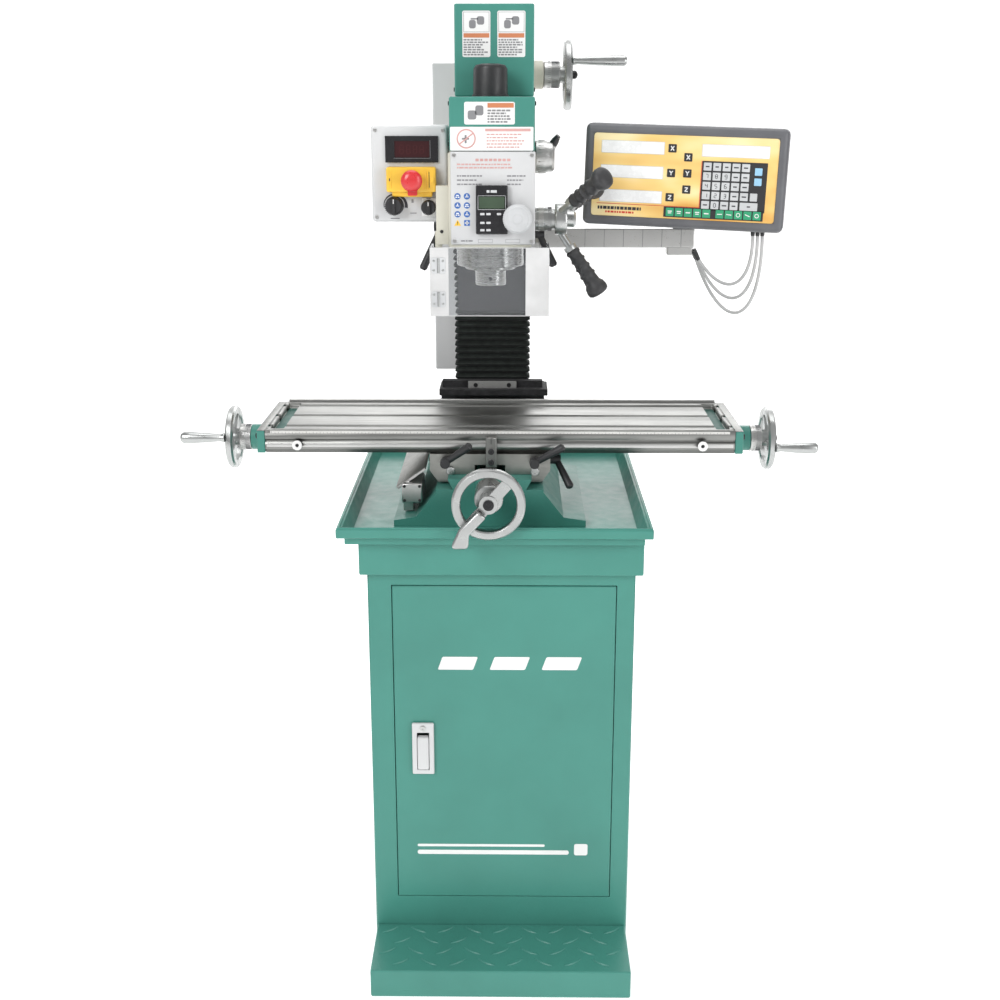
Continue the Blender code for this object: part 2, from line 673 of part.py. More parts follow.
# ---------------------------------------------------------------- head
def make_head():
    cx = MACHINE_X
    x0 = cx - HEAD_HALF
    x1 = cx + HEAD_HALF
    slide = box("head_slide", (x0, x1), (HEAD_BACK + FIT, COLUMN_FRONT - 0.5), (1050.0, 1230.0), "cream", 3.0, 1)
    way = [
        (cx - 32.5, COLUMN_FRONT + 5), (cx - 32.5, COLUMN_FRONT), (cx - 42.6, WAY_FRONT - 0.4),
        (cx + 42.6, WAY_FRONT - 0.4), (cx + 32.5, COLUMN_FRONT), (cx + 32.5, COLUMN_FRONT + 5),
    ]
    cut(slide, prism("slide_groove", "Z", way, (1000.0, 1300.0)))
    pivot(slide, (cx, HEAD_BACK, 1125.0))
    head = box("head_casting", (x0, x1), (HEAD_FRONT, HEAD_BACK), (HEAD_Z0, HEAD_Z1), "cream", 3.0, 1)
    nose = turned(
        "head_nose", "Z", (cx, SPINDLE_Y, 0), [(0, 1028), (46, 1028), (48, 1030), (48, 1075), (0, 1075)], None, 36
    )
    join(head, nose)
    bore = turned(
        "head_bore", "Z", (cx, SPINDLE_Y, 0),
        [(0, 1000), (QUILL_R + 0.3, 1000), (QUILL_R + 0.3, 1300), (0, 1300)], None, 40,
    )
    cut(head, bore)
    pivot(head, (cx, HEAD_BACK, 1125.0))
    box("head_front_panel", (x0 + 4, x1 + 5), (HEAD_FRONT - 4.5, HEAD_FRONT - FIT), (1064.0, 1191.0), "grey", 1.0, 1)
    depth = box("depth_display", (-31.0, 13.0), (HEAD_FRONT - 13.0, HEAD_FRONT - 4.8), (1079.0, 1146.0), "black", 1.5, 2)
    window = box("depth_window", (-27.0, 9.0), (HEAD_FRONT - 20.0, HEAD_FRONT - 11.5), (1114.0, 1131.0))
    cut(depth, window)
    knob = turned(
        "fine_feed_knob", "Y", (26.5, 0, 1101.0),
        [
            (0, HEAD_FRONT - 25), (17, HEAD_FRONT - 25), (20, HEAD_FRONT - 22), (20, HEAD_FRONT - 15),
            (18, HEAD_FRONT - 13.4), (8, HEAD_FRONT - 13.4), (8, HEAD_FRONT - 4.8), (0, HEAD_FRONT - 4.8),
        ],
        "grey", 32,
    )
    pivot(knob, (26.5, HEAD_FRONT - 4.8, 1101.0))
    cover = box("head_top_cover", (x0 + 2.5, x1 + 4), (HEAD_FRONT - 3, HEAD_BACK - 2), (HEAD_Z1 + 0.4, COVER_Z1), "green", 2.5, 2)
    draw_hole = turned(
        "cover_bore", "Z", (cx, SPINDLE_Y, 0), [(0, 1150), (19, 1150), (19, 1300), (0, 1300)], None, 32
    )
    motor_seat = turned("cover_motor_seat", "Z", (cx, 73.0, 0), [(0, 1250), (44, 1250), (44, 1270), (0, 1270)], None, 32)
    cut(cover, draw_hole, motor_seat)
    shell = box("motor_cover", (-64.0, 50.0), (24.0, 122.0), (COVER_Z1 + FIT, MOTOR_TOP), "green", 2.5, 2)
    inner = box("motor_cover_inside", (-61.5, 47.5), (26.5, 119.5), (COVER_Z1 - 10, MOTOR_TOP - 2.5))
    cut(shell, inner)
    turned(
        "spindle_motor", "Z", (cx, 73.0, 0),
        [
            (0, 1250.4), (42, 1250.4), (42, 1262), (34, 1262), (34, 1360), (30, 1368), (8, 1368), (8, 1378), (0, 1378),
        ],
        "black", 32,
    )
    cap = turned(
        "drawbar_cap", "Z", (cx, SPINDLE_Y, 0),
        [
            (19.5, 1264.4), (24.5, 1264.4), (24.5, 1266), (24, 1302), (21, 1307), (12, 1309), (0, 1309),
            (0, 1305), (12, 1304), (19.5, 1299), (19.5, 1264.4),
        ],
        "black", 32,
    )
    pivot(cap, (cx, SPINDLE_Y, 1264.4))
    selector = turned(
        "gear_selector_knob", "X", (0, SPINDLE_Y, 1185.0 - 4.0),
        [(0, 46.3), (9, 46.3), (9, 51), (21, 51), (23, 53), (23, 66), (21, 70), (21, 76), (18, 79), (0, 79)], "grey", 32,
    )
    pointer = rod("gear_pointer", (74.0, SPINDLE_Y, 1192.0), (84.0, SPINDLE_Y - 6, 1209.0), [(0, 0), (0, 6), (1, 3.5), (1, 0)], None, 12)
    join(selector, pointer)
    pivot(selector, (46.3, SPINDLE_Y, 1181.0))
    hub = turned(
        "downfeed_hub", "X", (0, SPINDLE_Y, HUB_Z),
        [
            (0, 46.3), (17, 46.3), (17, 76), (15, 76), (15, 81), (22, 81), (23, 83), (23, 95), (21, 98),
            (12, 98), (12, 108), (9, 111), (0, 111),
        ],
        "chrome", 32,
    )
    levers = []
    for k, degrees in enumerate((-82.0, 38.0, 158.0)):
        angle = math.radians(degrees)
        # the levers lean outwards, so that they clear the head
        def out_along(x, r, angle=angle):
            return (x, SPINDLE_Y - r * math.cos(angle), HUB_Z + r * math.sin(angle))
        levers.append(
            rod(
                f"downfeed_lever_{k}", out_along(84.0, 12.0), out_along(147.0, LEVER_REACH),
                [
                    (0, 0), (0, 5), (0.28, 5), (0.28, 9), (0.33, 9.5), (0.36, 7.5), (0.80, 10), (0.84, 8.5),
                    (0.86, 12), (0.93, 14.5), (0.98, 12.5), (1.0, 7), (1.0, 0),
                ],
                None, 16,
            )
        )
    join(hub, *levers)
    pivot(hub, (46.3, SPINDLE_Y, HUB_Z))
    lock_lever("head_lock_lever", "X", (x0 - 0.3, 60.0, 1076.0), -1, 28.0, (-116.0, 52.0, 1012.0))
    lock_lever("quill_lock_lever", "X", (x1 + 0.3, 10.0, 1071.0), 1, 20.0, (81.0, 6.0, 1023.0))
    quill = turned(
        "quill", "Z", (cx, SPINDLE_Y, 0),
        [
            (21, 1022), (36, 1022), (QUILL_R, 1023), (QUILL_R, 1165), (21, 1165), (21, 1022),
        ],
        "steel", 40,
    )
    pivot(quill, (cx, SPINDLE_Y, 1022.0))
    spindle = turned(
        "spindle", "Z", (cx, SPINDLE_Y, 0),
        [
            (16, NOSE_Z), (21.3, NOSE_Z), (22.3, NOSE_Z + 1), (22.3, 1021.6), (20.6, 1021.6), (20.6, 1166),
            (15, 1166), (15, 1186), (6.5, 1186), (6.5, 1105), (12, 1105), (12, 1030), (16, NOSE_Z),
        ],
        "steel", 32,
    )
    pivot(spindle, (cx, SPINDLE_Y, NOSE_Z))
    bracket = box("guard_bracket", (-87.0, x0 + 9.0), (-72.0, -48.0), (1063.0, 1144.0))
    arm = box("guard_bracket_arm", (-89.4, -80.0), (-62.0, -50.5), (1000.0, 1080.0))
    join(head, bracket, arm)
    sheet = [
        (-95.0, -50.0), (-95.0, -100.0), (71.0, -100.0), (71.0, -30.0), (68.4, -30.0), (68.4, -97.4),
        (-92.4, -97.4), (-92.4, -50.0),
    ]
    guard = prism("chuck_guard", "Z", sheet, (966.0, 1062.0), "clear")
    hinges = [
        box(f"guard_hinge_{z:.0f}", (-94.0, -90.4), (-66.0, -46.0), (z, z + 20), None, 0.8, 1) for z in (979.0, 1030.0)
    ]
    join(guard, *hinges)
    pivot(guard, (-92.5, -48.0, 966.0))
    make_controls(x0)


def make_controls(x0):
    front = CONTROL_FRONT
    case = box("control_box", (-179.5, x0 - 1.6), (front, front + 62), (1091.5, 1225.5), "grey", 5.0, 3)
    frame = box("rpm_display_frame", (-159.0, -84.5), (front - 2.5, front + 4), (1174.5, 1211.0), None, 1.0, 1)
    glass = box("rpm_display_window", (-147.0, -96.0), (front - 8, front - 1.2), (1180.5, 1205.0))
    plate = box("switch_plate", (-109.0, -75.5), (front - 1.2, front + 4), (1099.5, 1126.0), None, 0.5, 1)
    join(case, frame, plate)
    cut(case, glass)
    house = box("e_stop_housing", (-157.5, -87.6), (front - 15, front - FIT), (1134.0, 1169.0), "yellow", 3.0, 2)
    flap = box("e_stop_flap", (-150.0, -93.0), (front - 11, front - FIT), (1127.4, 1138.0), None, 1.5, 1)
    collar = turned(
        "e_stop_collar", "Y", (-120.8, front, 1150.5), [(0, -18), (12, -18), (13, -14), (13, -10), (0, -10)], None, 24
    )
    socket = turned("e_stop_socket", "Y", (-120.8, front, 1150.5), [(0, -40), (8.4, -40), (8.4, -5), (0, -5)], None, 24)
    join(house, flap, collar)
    cut(house, socket)
    button = turned(
        "e_stop_button", "Y", (-120.8, front, 1150.5),
        [(0, -34), (8, -33.5), (13, -31), (15, -28), (15, -26), (8, -25), (8, -10), (0, -10)],
        "red", 24,
    )
    pivot(button, (-120.8, front - 18.0, 1150.5))
    knob = turned(
        "speed_knob", "Y", (-147.5, front, 1114.5),
        [(0, -17), (10.5, -17), (12, -15), (12.5, -4), (12.5, -FIT), (0, -FIT)],
        "black", 24,
    )
    rib = box("speed_knob_rib", (-149.5, -145.5), (front - 20, front - 10), (1104.0, 1125.0))
    join(knob, rib)
    pivot(knob, (-147.5, front - FIT, 1114.5))
    switch = turned(
        "direction_switch", "Y", (-99.0, front, 1112.5),
        [(0, -12), (9, -12), (10.5, -10), (10.5, -1.5), (0, -1.5)],
        "black", 24,
    )
    rib = box("direction_switch_rib", (-101.5, -96.5), (front - 16, front - 8), (1103.5, 1121.5))
    join(switch, rib)
    pivot(switch, (-99.0, front - 1.5, 1112.5))


# ---------------------------------------------------------------- digital readout
def make_readout():
    bracket = box(
        "dro_bracket", (MACHINE_X + COLUMN_HALF + FIT, 49.0), (208.0, 248.0), (1020.0, 1082.0), "grey", 1.5, 1
    )
    lugs = [box(f"dro_lug_{z:.0f}", (44.0, 80.0), (214.0, 242.0), (z, z + 12)) for z in (1023.7, 1066.3)]
    pin = turned("dro_pin", "Z", (66.0, 228.0, 0), [(0, 1025), (8, 1025), (8, 1077), (0, 1077)], None, 24)
    join(bracket, *lugs, pin)
    arm = box("dro_arm", (62.0, 304.0), (135.0, 163.0), (1036.0, 1066.0), "grey", 2.0, 2)
    leg = box("dro_arm_leg", (64.0, 92.0), (140.0, 236.0), (1038.0, 1064.0))
    eye = turned("dro_arm_eye", "Z", (66.0, 228.0, 0), [(0, 1036), (15, 1036), (15, 1066), (0, 1066)], None, 24)
    eye_hole = turned("dro_arm_eye_hole", "Z", (66.0, 228.0, 0), [(0, 1000), (8.3, 1000), (8.3, 1100), (0, 1100)], None, 24)
    tip = turned("dro_arm_tip", "Z", (*DRO_PIN, 0), [(0, 1050), (8, 1050), (8, 1088), (0, 1088)], None, 20)
    clamp = box("dro_arm_clamp", (262.0, 302.0), (138.0, 160.0), (1024.0, 1040.0), None, 1.5, 1)
    join(arm, leg, eye, tip, clamp)
    cut(arm, eye_hole)
    pivot(arm, (66.0, 228.0, 1051.0))
    facing = Matrix.Translation((*DRO_PIN, 1147.0)) @ Matrix.Rotation(math.radians(-13.0), 4, "Z")
    leaning = facing @ Matrix.Translation((4.0, -53.5, 0.0)) @ Matrix.Rotation(math.radians(1.7), 4, "Y")
    case = box("dro_display", (-151.5, 151.5), (-20.0, 20.0), (-76.0, 76.0), "black", 9.0, 3)
    face = box("dro_recess", (-138.0, 138.0), (-40.0, -18.4), (-62.0, 62.0))
    stub = box("dro_stub", (-28.0, 28.0), (10.0, 30.0), (-75.0, -30.0), None, 3.0, 1)
    shelf = box("dro_shelf", (-14.0, 14.0), (-38.0, 14.0), (-80.0, -66.0), None, 2.0, 1)
    socket = turned("dro_socket", "Z", (0, 0, 0), [(0, -120), (8.3, -120), (8.3, -50), (0, -50)], None, 24)
    for piece, matrix in ((case, leaning), (face, leaning), (stub, leaning), (shelf, facing), (socket, facing)):
        scaled = matrix.copy()
        scaled.translation *= 0.001
        piece.data.transform(scaled)
    join(case, stub, shelf)
    cut(case, face, socket)
    pivot(case, (*DRO_PIN, 1067.0))
    for number, (start, end, drop) in enumerate(CABLES):
        a = Vector(start)
        d = Vector(end)
        b = a + Vector((6.0, 2.0, -drop))
        c = d + Vector((42.0, -8.0, -0.8 * drop))
        points = []
        for k in range(33):
            t = k / 32
            u = 1 - t
            points.append(a * u**3 + b * (3 * u * u * t) + c * (3 * u * t * t) + d * t**3)
        tube(f"dro_cable_{number + 1}", points, CABLE_R, "cable")


make_stand()
make_frame()
make_cross_feed()
make_saddle()
make_table()
make_head()
make_readout()
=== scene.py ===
"""Looks of the vertical milling machine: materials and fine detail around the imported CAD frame.

+Z is up and -Y is the operator's side. Pieces are built in millimetres and turned to metres by piece();
materials, camera, floor and lights are in metres. Most places come from the CAD nodes' boxes, and the rest,
such as the display's, the leads' and the downfeed levers', are given in the frame's own millimetres.
"""

import json
import math
import random

import bmesh
import bpy
from mathutils import Matrix, Vector

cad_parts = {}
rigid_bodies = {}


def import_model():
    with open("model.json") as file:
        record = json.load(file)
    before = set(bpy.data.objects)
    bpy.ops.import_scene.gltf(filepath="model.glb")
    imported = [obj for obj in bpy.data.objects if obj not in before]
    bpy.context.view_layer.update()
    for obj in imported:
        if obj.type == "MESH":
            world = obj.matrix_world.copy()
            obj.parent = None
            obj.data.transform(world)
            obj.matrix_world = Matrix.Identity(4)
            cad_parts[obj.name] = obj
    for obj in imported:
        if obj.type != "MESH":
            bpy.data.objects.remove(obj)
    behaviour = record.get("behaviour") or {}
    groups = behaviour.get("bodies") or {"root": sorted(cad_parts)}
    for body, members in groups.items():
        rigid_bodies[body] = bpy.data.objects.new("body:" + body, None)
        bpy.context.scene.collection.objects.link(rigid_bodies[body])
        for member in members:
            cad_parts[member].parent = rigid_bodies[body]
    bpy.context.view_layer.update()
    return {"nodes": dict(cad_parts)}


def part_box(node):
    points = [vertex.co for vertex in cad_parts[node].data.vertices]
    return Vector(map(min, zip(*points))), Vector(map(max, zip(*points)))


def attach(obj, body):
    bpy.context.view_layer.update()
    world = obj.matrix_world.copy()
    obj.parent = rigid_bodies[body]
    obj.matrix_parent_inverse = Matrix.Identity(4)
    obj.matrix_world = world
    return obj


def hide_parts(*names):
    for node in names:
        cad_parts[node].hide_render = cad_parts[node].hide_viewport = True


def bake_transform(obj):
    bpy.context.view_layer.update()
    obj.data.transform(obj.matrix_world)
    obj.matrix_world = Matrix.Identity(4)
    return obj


for old in list(bpy.data.objects):
    bpy.data.objects.remove(old, do_unlink=True)

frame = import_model()
NODES = frame["nodes"]
MM = 0.001
PIECES = bpy.data.collections.new("pieces")
bpy.context.scene.collection.children.link(PIECES)


# ---------------------------------------------------------------- materials
GREEN = (0.060, 0.245, 0.200)
CREAM = (0.60, 0.585, 0.50)
LIGHT_GREY = (0.60, 0.605, 0.61)


def material(name):
    made = bpy.data.materials.new(name)
    made.use_nodes = True
    tree = made.node_tree
    return made, tree, tree.nodes["Principled BSDF"]


def noise(tree, scale, detail=3.0, stretch=(1, 1, 1)):
    """Noise texture on object coordinates, in metres."""
    where = tree.nodes.new("ShaderNodeTexCoord")
    mapping = tree.nodes.new("ShaderNodeMapping")
    mapping.inputs["Scale"].default_value = stretch
    made = tree.nodes.new("ShaderNodeTexNoise")
    made.inputs["Scale"].default_value = scale
    made.inputs["Detail"].default_value = detail
    tree.links.new(where.outputs["Object"], mapping.inputs["Vector"])
    tree.links.new(mapping.outputs["Vector"], made.inputs["Vector"])
    return made.outputs["Fac"]


def ramp(tree, source, stops):
    """Colour ramp through (position, colour) stops."""
    made = tree.nodes.new("ShaderNodeValToRGB")
    elements = made.color_ramp.elements
    while len(elements) < len(stops):
        elements.new(0.5)
    for element, (position, colour) in zip(elements, stops):
        element.position = position
        element.color = (*colour, 1.0)
    tree.links.new(source, made.inputs["Fac"])
    return made.outputs["Color"]


def spread(tree, source, low, high):
    """The 0.3 to 0.7 middle of a noise, mapped to low to high."""
    made = tree.nodes.new("ShaderNodeMapRange")
    made.inputs["From Min"].default_value = 0.3
    made.inputs["From Max"].default_value = 0.7
    made.inputs["To Min"].default_value = low
    made.inputs["To Max"].default_value = high
    tree.links.new(source, made.inputs["Value"])
    return made.outputs["Result"]


def bump(tree, shader, source, strength, distance):
    made = tree.nodes.new("ShaderNodeBump")
    made.inputs["Strength"].default_value = strength
    made.inputs["Distance"].default_value = distance
    tree.links.new(source, made.inputs["Height"])
    tree.links.new(made.outputs["Normal"], shader.inputs["Normal"])


def shade(colour, factor):
    return tuple(min(1.0, channel * factor) for channel in colour)


def paint(name, colour, roughness=0.35, grain=900.0, relief=0.12, coat=0.25):
    """Sprayed enamel: fine orange peel, slight tone drift and uneven gloss."""
    made, tree, shader = material(name)
    drift = noise(tree, 9.0, 4.0)
    stops = ((0.30, shade(colour, 0.93)), (0.52, colour), (0.72, shade(colour, 1.05)))
    tree.links.new(ramp(tree, drift, stops), shader.inputs["Base Color"])
    gloss = noise(tree, 60.0, 3.0)
    tree.links.new(spread(tree, gloss, roughness - 0.05, roughness + 0.07), shader.inputs["Roughness"])
    bump(tree, shader, noise(tree, grain, 2.0), relief, 0.0006)
    shader.inputs["Specular IOR Level"].default_value = 0.3
    shader.inputs["Coat Weight"].default_value = coat
    shader.inputs["Coat Roughness"].default_value = 0.22
    return made


def plastic(name, colour, roughness=0.42, grain=1800.0, relief=0.15, coat=0.0):
    """Moulded plastic with a fine spark-eroded texture."""
    made, tree, shader = material(name)
    drift = noise(tree, 25.0, 3.0)
    stops = ((0.3, shade(colour, 0.9)), (0.7, shade(colour, 1.08)))
    tree.links.new(ramp(tree, drift, stops), shader.inputs["Base Color"])
    gloss = spread(tree, noise(tree, 140.0), roughness - 0.06, roughness + 0.08)
    tree.links.new(gloss, shader.inputs["Roughness"])
    bump(tree, shader, noise(tree, grain, 2.0), relief, 0.0004)
    shader.inputs["Coat Weight"].default_value = coat
    return made


def foil(name, dark, middle, bright):
    """Printed metallic film with its metallic reflections painted in: slow streaks of painted highlight from
    a dark tone to a bright one.
    """
    made, tree, shader = material(name)
    painted_highlight_streaks = noise(tree, 11.0, 2.0, (0.6, 0.6, 1.6))
    tone = ramp(tree, painted_highlight_streaks, ((0.32, dark), (0.5, middle), (0.66, bright)))
    tree.links.new(tone, shader.inputs["Base Color"])
    tree.links.new(spread(tree, noise(tree, 160.0), 0.32, 0.44), shader.inputs["Roughness"])
    shader.inputs["Coat Weight"].default_value = 0.15
    return made


def metal(name, colour, roughness=0.25, stretch=(1, 1, 1), scale=300.0, relief=0.06, stain=0.12):
    """Bare metal: tool marks along the axis that stretch squeezes, and faint oil staining."""
    made, tree, shader = material(name)
    shader.inputs["Metallic"].default_value = 1.0
    stains = noise(tree, 18.0, 5.0)
    stops = ((0.28, shade(colour, 1.0 - stain)), (0.6, colour), (0.8, shade(colour, 1.0 + stain / 3)))
    tree.links.new(ramp(tree, stains, stops), shader.inputs["Base Color"])
    marks = noise(tree, scale, 4.0, stretch)
    tree.links.new(spread(tree, marks, roughness - 0.07, roughness + 0.1), shader.inputs["Roughness"])
    bump(tree, shader, marks, relief, 0.0005)
    return made


def clear(name, colour=(0.93, 0.95, 0.97), roughness=0.06):
    """Thin clear sheet with faint scratches and a haze."""
    made, tree, shader = material(name)
    tone = ramp(tree, noise(tree, 8.0), ((0.3, shade(colour, 0.97)), (0.7, colour)))
    tree.links.new(tone, shader.inputs["Base Color"])
    scratches = noise(tree, 90.0, 5.0, (1, 1, 0.2))
    tree.links.new(spread(tree, scratches, 0.02, roughness * 2), shader.inputs["Roughness"])
    shader.inputs["Transmission Weight"].default_value = 0.95
    shader.inputs["IOR"].default_value = 1.02
    return made


def cloth(name, colour):
    """Rubberised cloth: dull, with a fine weave."""
    made, tree, shader = material(name)
    stops = ((0.3, shade(colour, 0.6)), (0.7, shade(colour, 1.7)))
    tree.links.new(ramp(tree, noise(tree, 120.0, 4.0), stops), shader.inputs["Base Color"])
    shader.inputs["Roughness"].default_value = 0.72
    shader.inputs["Sheen Weight"].default_value = 0.05
    shader.inputs["Specular IOR Level"].default_value = 0.3
    bump(tree, shader, noise(tree, 1500.0, 3.0), 0.4, 0.0005)
    return made


def glass_with_painted_glow(name, colour, strength):
    """Display glass with a faint painted glow, though the displays are unlit."""
    made, tree, shader = material(name)
    pattern = ramp(tree, noise(tree, 40.0), ((0.3, shade(colour, 0.85)), (0.7, colour)))
    tree.links.new(pattern, shader.inputs["Base Color"])
    tree.links.new(pattern, shader.inputs["Emission Color"])
    shader.inputs["Emission Strength"].default_value = strength
    shader.inputs["Roughness"].default_value = 0.12
    return made


LOOKS = {
    "green": paint("green_enamel", GREEN, 0.36, 900.0, 0.12, 0.12),
    "green_cast": paint("green_cast_enamel", shade(GREEN, 0.9), 0.4, 260.0, 0.35, 0.1),
    "cream": paint("cream_enamel", CREAM, 0.42, 300.0, 0.3),
    "grey": paint("grey_enamel", LIGHT_GREY, 0.38),
    "white": paint("white_print", (0.80, 0.80, 0.79), 0.45, 500.0, 0.05, 0.1),
    "steel": metal("ground_steel", (0.26, 0.262, 0.252), 0.38, (0.03, 1, 1), 420.0, 0.08),
    "steel_z": metal("turned_steel", (0.34, 0.335, 0.32), 0.24, (1, 1, 14), 60.0, 0.002, 0.05),
    "iron": metal("machined_iron", (0.36, 0.36, 0.34), 0.38, (0.3, 1, 1), 260.0, 0.18, 0.3),
    "dark_iron": metal("blackened_steel", (0.045, 0.045, 0.047), 0.4, (1, 1, 1), 500.0, 0.1),
    "chrome": metal("polished_rim", (0.44, 0.45, 0.445), 0.30, (1, 1, 1), 60.0, 0.004, 0.04),
    "satin": metal("satin_aluminium", (0.52, 0.52, 0.51), 0.34, (1, 1, 1), 500.0, 0.01, 0.06),
    "black": plastic("black_plastic", (0.022, 0.022, 0.024)),
    "black_gloss": plastic("black_gloss", (0.012, 0.012, 0.014), 0.16, 300.0, 0.03, 0.4),
    "charcoal": plastic("charcoal_case", (0.115, 0.117, 0.127), 0.42),
    "pale": plastic("pale_plastic", (0.55, 0.56, 0.57), 0.4),
    "yellow": plastic("yellow_plastic", (0.85, 0.52, 0.05), 0.35, 900.0, 0.08, 0.2),
    "red": plastic("red_plastic", (0.62, 0.03, 0.035), 0.3, 900.0, 0.05, 0.3),
    # painted highlight: the amber film's metallic gleam is painted into its colour as streaks
    "amber": foil("amber_film", (0.70, 0.36, 0.075), (0.90, 0.62, 0.22), (0.95, 0.80, 0.46)),
    "lead": plastic("cable_sheath", (0.46, 0.46, 0.46), 0.5, 900.0, 0.1),
    "cloth": cloth("bellows_cloth", (0.008, 0.011, 0.0095)),
    "rubber": cloth("way_cover_rubber", (0.012, 0.012, 0.013)),
    "clear": clear("clear_guard"),
    # painted glow: the display glass and the unlit segments below glow faintly though the displays are off
    "lcd": glass_with_painted_glow("lcd_glass", (0.055, 0.085, 0.055), 0.10),
    "red_glass": glass_with_painted_glow("red_window", (0.040, 0.008, 0.010), 0.10),
    "key_blue": plastic("blue_key", (0.30, 0.55, 0.75), 0.4),
    "key_green": plastic("green_key", (0.03, 0.33, 0.16), 0.4),
    "ink": plastic("printed_ink", (0.03, 0.03, 0.035), 0.5),
    "ink_blue": plastic("blue_ink", (0.04, 0.13, 0.40), 0.5),
    "ink_grey": plastic("grey_ink", (0.22, 0.22, 0.23), 0.5),
    "ink_rust": plastic("rust_ink", (0.55, 0.20, 0.09), 0.5),
    "ink_rose": plastic("rose_ink", (0.60, 0.34, 0.32), 0.5),
    "ink_red": plastic("red_ink", (0.60, 0.05, 0.03), 0.5),
    "red_off": glass_with_painted_glow("unlit_segments", (0.055, 0.012, 0.014), 0.10),
    "window_white": plastic("window_white", (0.86, 0.86, 0.86), 0.25, 500.0, 0.02, 0.2),
    "rubber_grip": plastic("grip_rubber", (0.030, 0.030, 0.032), 0.5, 700.0, 0.2),
    # partly painted shade: the guard's milky sheet toned grey to show the clear guard's shading against the
    # white backdrop
    "frosted_with_painted_shade": plastic("frosted_acrylic_painted_shade", (0.60, 0.60, 0.60), 0.35, 22.0, 0.6, 0.4),
    "slate": plastic("slate_sheet", (0.013, 0.0135, 0.018), 0.5, 240.0, 0.05),
    "ruler": plastic("engraved_rule", (0.62, 0.615, 0.59), 0.45, 600.0, 0.05),
    # painted shade: the troughs' green enamel darkened to 0.42 for the shade in the recess
    "green_painted_shade": paint("green_shaded_enamel", shade(GREEN, 0.42), 0.5, 260.0, 0.3, 0.0),
    "motor": metal("motor_body", (0.07, 0.07, 0.075), 0.45, (1, 1, 1), 300.0, 0.2),
}

NODE_LOOKS = {
    "green": (
        "stand_cabinet", "stand_cap", "stand_step", "cabinet_door", "chip_tray", "head_top_cover",
        "motor_cover",
    ),
    "green_cast": ("mill_base", "table_bracket_left", "table_bracket_right"),
    "cream": ("column", "head_slide", "head_casting"),
    "grey": (
        "door_latch_housing", "door_latch_lever", "z_scale_cover", "head_front_panel", "control_box",
        "dro_bracket",
    ),
    "satin": ("x_scale_rail", "dro_arm", "y_scale_reader", "gear_selector_knob"),
    "pale": ("fine_feed_knob",),
    "steel": ("table", "index_block"),
    "iron": ("saddle",),
    "steel_z": ("quill", "spindle", "x_leadscrew"),
    "chrome": (
        "z_handwheel", "z_handwheel_grip", "y_handwheel", "y_crank_handle", "x_handwheel_left",
        "x_handwheel_right", "x_handwheel_grip_left", "x_handwheel_grip_right", "downfeed_hub",
    ),
    "dark_iron": ("table_stop_left", "table_stop_right"),
    "cloth": ("column_bellows",),
    "rubber": ("rear_way_cover",),
    "black": (
        "speed_knob", "direction_switch", "drawbar_cap", "x_lock_lever_left", "x_lock_lever_right",
        "y_lock_lever", "head_lock_lever", "quill_lock_lever",
    ),
    "black_gloss": ("depth_display",),
    "charcoal": ("dro_display",),
    "motor": ("spindle_motor",),
    "yellow": ("e_stop_housing",),
    "red": ("e_stop_button",),
    "clear": ("chuck_guard",),
    "lead": ("dro_cable_1", "dro_cable_2", "dro_cable_3"),
}
SHARP_NODES = ("table", "column_bellows", "chuck_guard", "dro_cable_1", "dro_cable_2", "dro_cable_3")


def finish_nodes():
    """Gives every CAD node its material, smooth shading and softly broken edges."""
    for look, names in NODE_LOOKS.items():
        for name in names:
            node = NODES[name]
            node.data.materials.clear()
            node.data.materials.append(LOOKS[look])
            weld = node.modifiers.new("weld", "WELD")
            weld.merge_threshold = 0.00002
            if name not in SHARP_NODES:
                edge = node.modifiers.new("edge", "BEVEL")
                edge.limit_method = "ANGLE"
                edge.angle_limit = math.radians(40)
                edge.width = 0.5 * MM
                edge.segments = 2
                edge.use_clamp_overlap = True
            normals = node.modifiers.new("normals", "WEIGHTED_NORMAL")
            normals.keep_sharp = True
            node.data.shade_smooth()
            node.data.set_sharp_from_angle(angle=math.radians(40))


finish_nodes()


# ---------------------------------------------------------------- piece helpers
EDGE_ANGLE = 40.0
PRINT_LIFT = 0.25


def box(node):
    """Low and high corners of a CAD node's box, in millimetres."""
    low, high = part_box(node)
    return low / MM, high / MM


def metres(*values):
    return tuple(value * MM for value in values)


def piece(name, bm, look, body, smooth_angle=38.0, edge=0.0):
    """One finished object from a bmesh in millimetres, riding on a CAD body where one is given."""
    bmesh.ops.scale(bm, vec=(MM, MM, MM), verts=bm.verts)
    bmesh.ops.remove_doubles(bm, verts=bm.verts, dist=1e-6)
    bmesh.ops.recalc_face_normals(bm, faces=bm.faces)
    mesh = bpy.data.meshes.new(name)
    bm.to_mesh(mesh)
    bm.free()
    mesh.materials.append(LOOKS[look])
    mesh.shade_smooth()
    mesh.set_sharp_from_angle(angle=math.radians(smooth_angle))
    obj = bpy.data.objects.new(name, mesh)
    PIECES.objects.link(obj)
    if edge:
        broken = obj.modifiers.new("edge", "BEVEL")
        broken.limit_method = "ANGLE"
        broken.angle_limit = math.radians(EDGE_ANGLE)
        broken.width = edge * MM
        broken.segments = 2
    if body:
        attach(obj, body)
    return obj


def merge(bm, made, matrix=None):
    """Moves the contents of one bmesh into another."""
    if matrix is not None:
        bmesh.ops.transform(made, matrix=matrix, verts=made.verts)
    mesh = bpy.data.meshes.new("merged")
    made.to_mesh(mesh)
    made.free()
    bm.from_mesh(mesh)
    bpy.data.meshes.remove(mesh)


def skin(bm, rings):
    """Makes one solid of equal rings of vertices: a face on each end, and sides between them."""
    bm.faces.new(rings[0])
    bm.faces.new(list(reversed(rings[-1])))
    for first, second in zip(rings, rings[1:]):
        for i in range(len(first)):
            j = (i + 1) % len(first)
            bm.faces.new((first[i], first[j], second[j], second[i]))


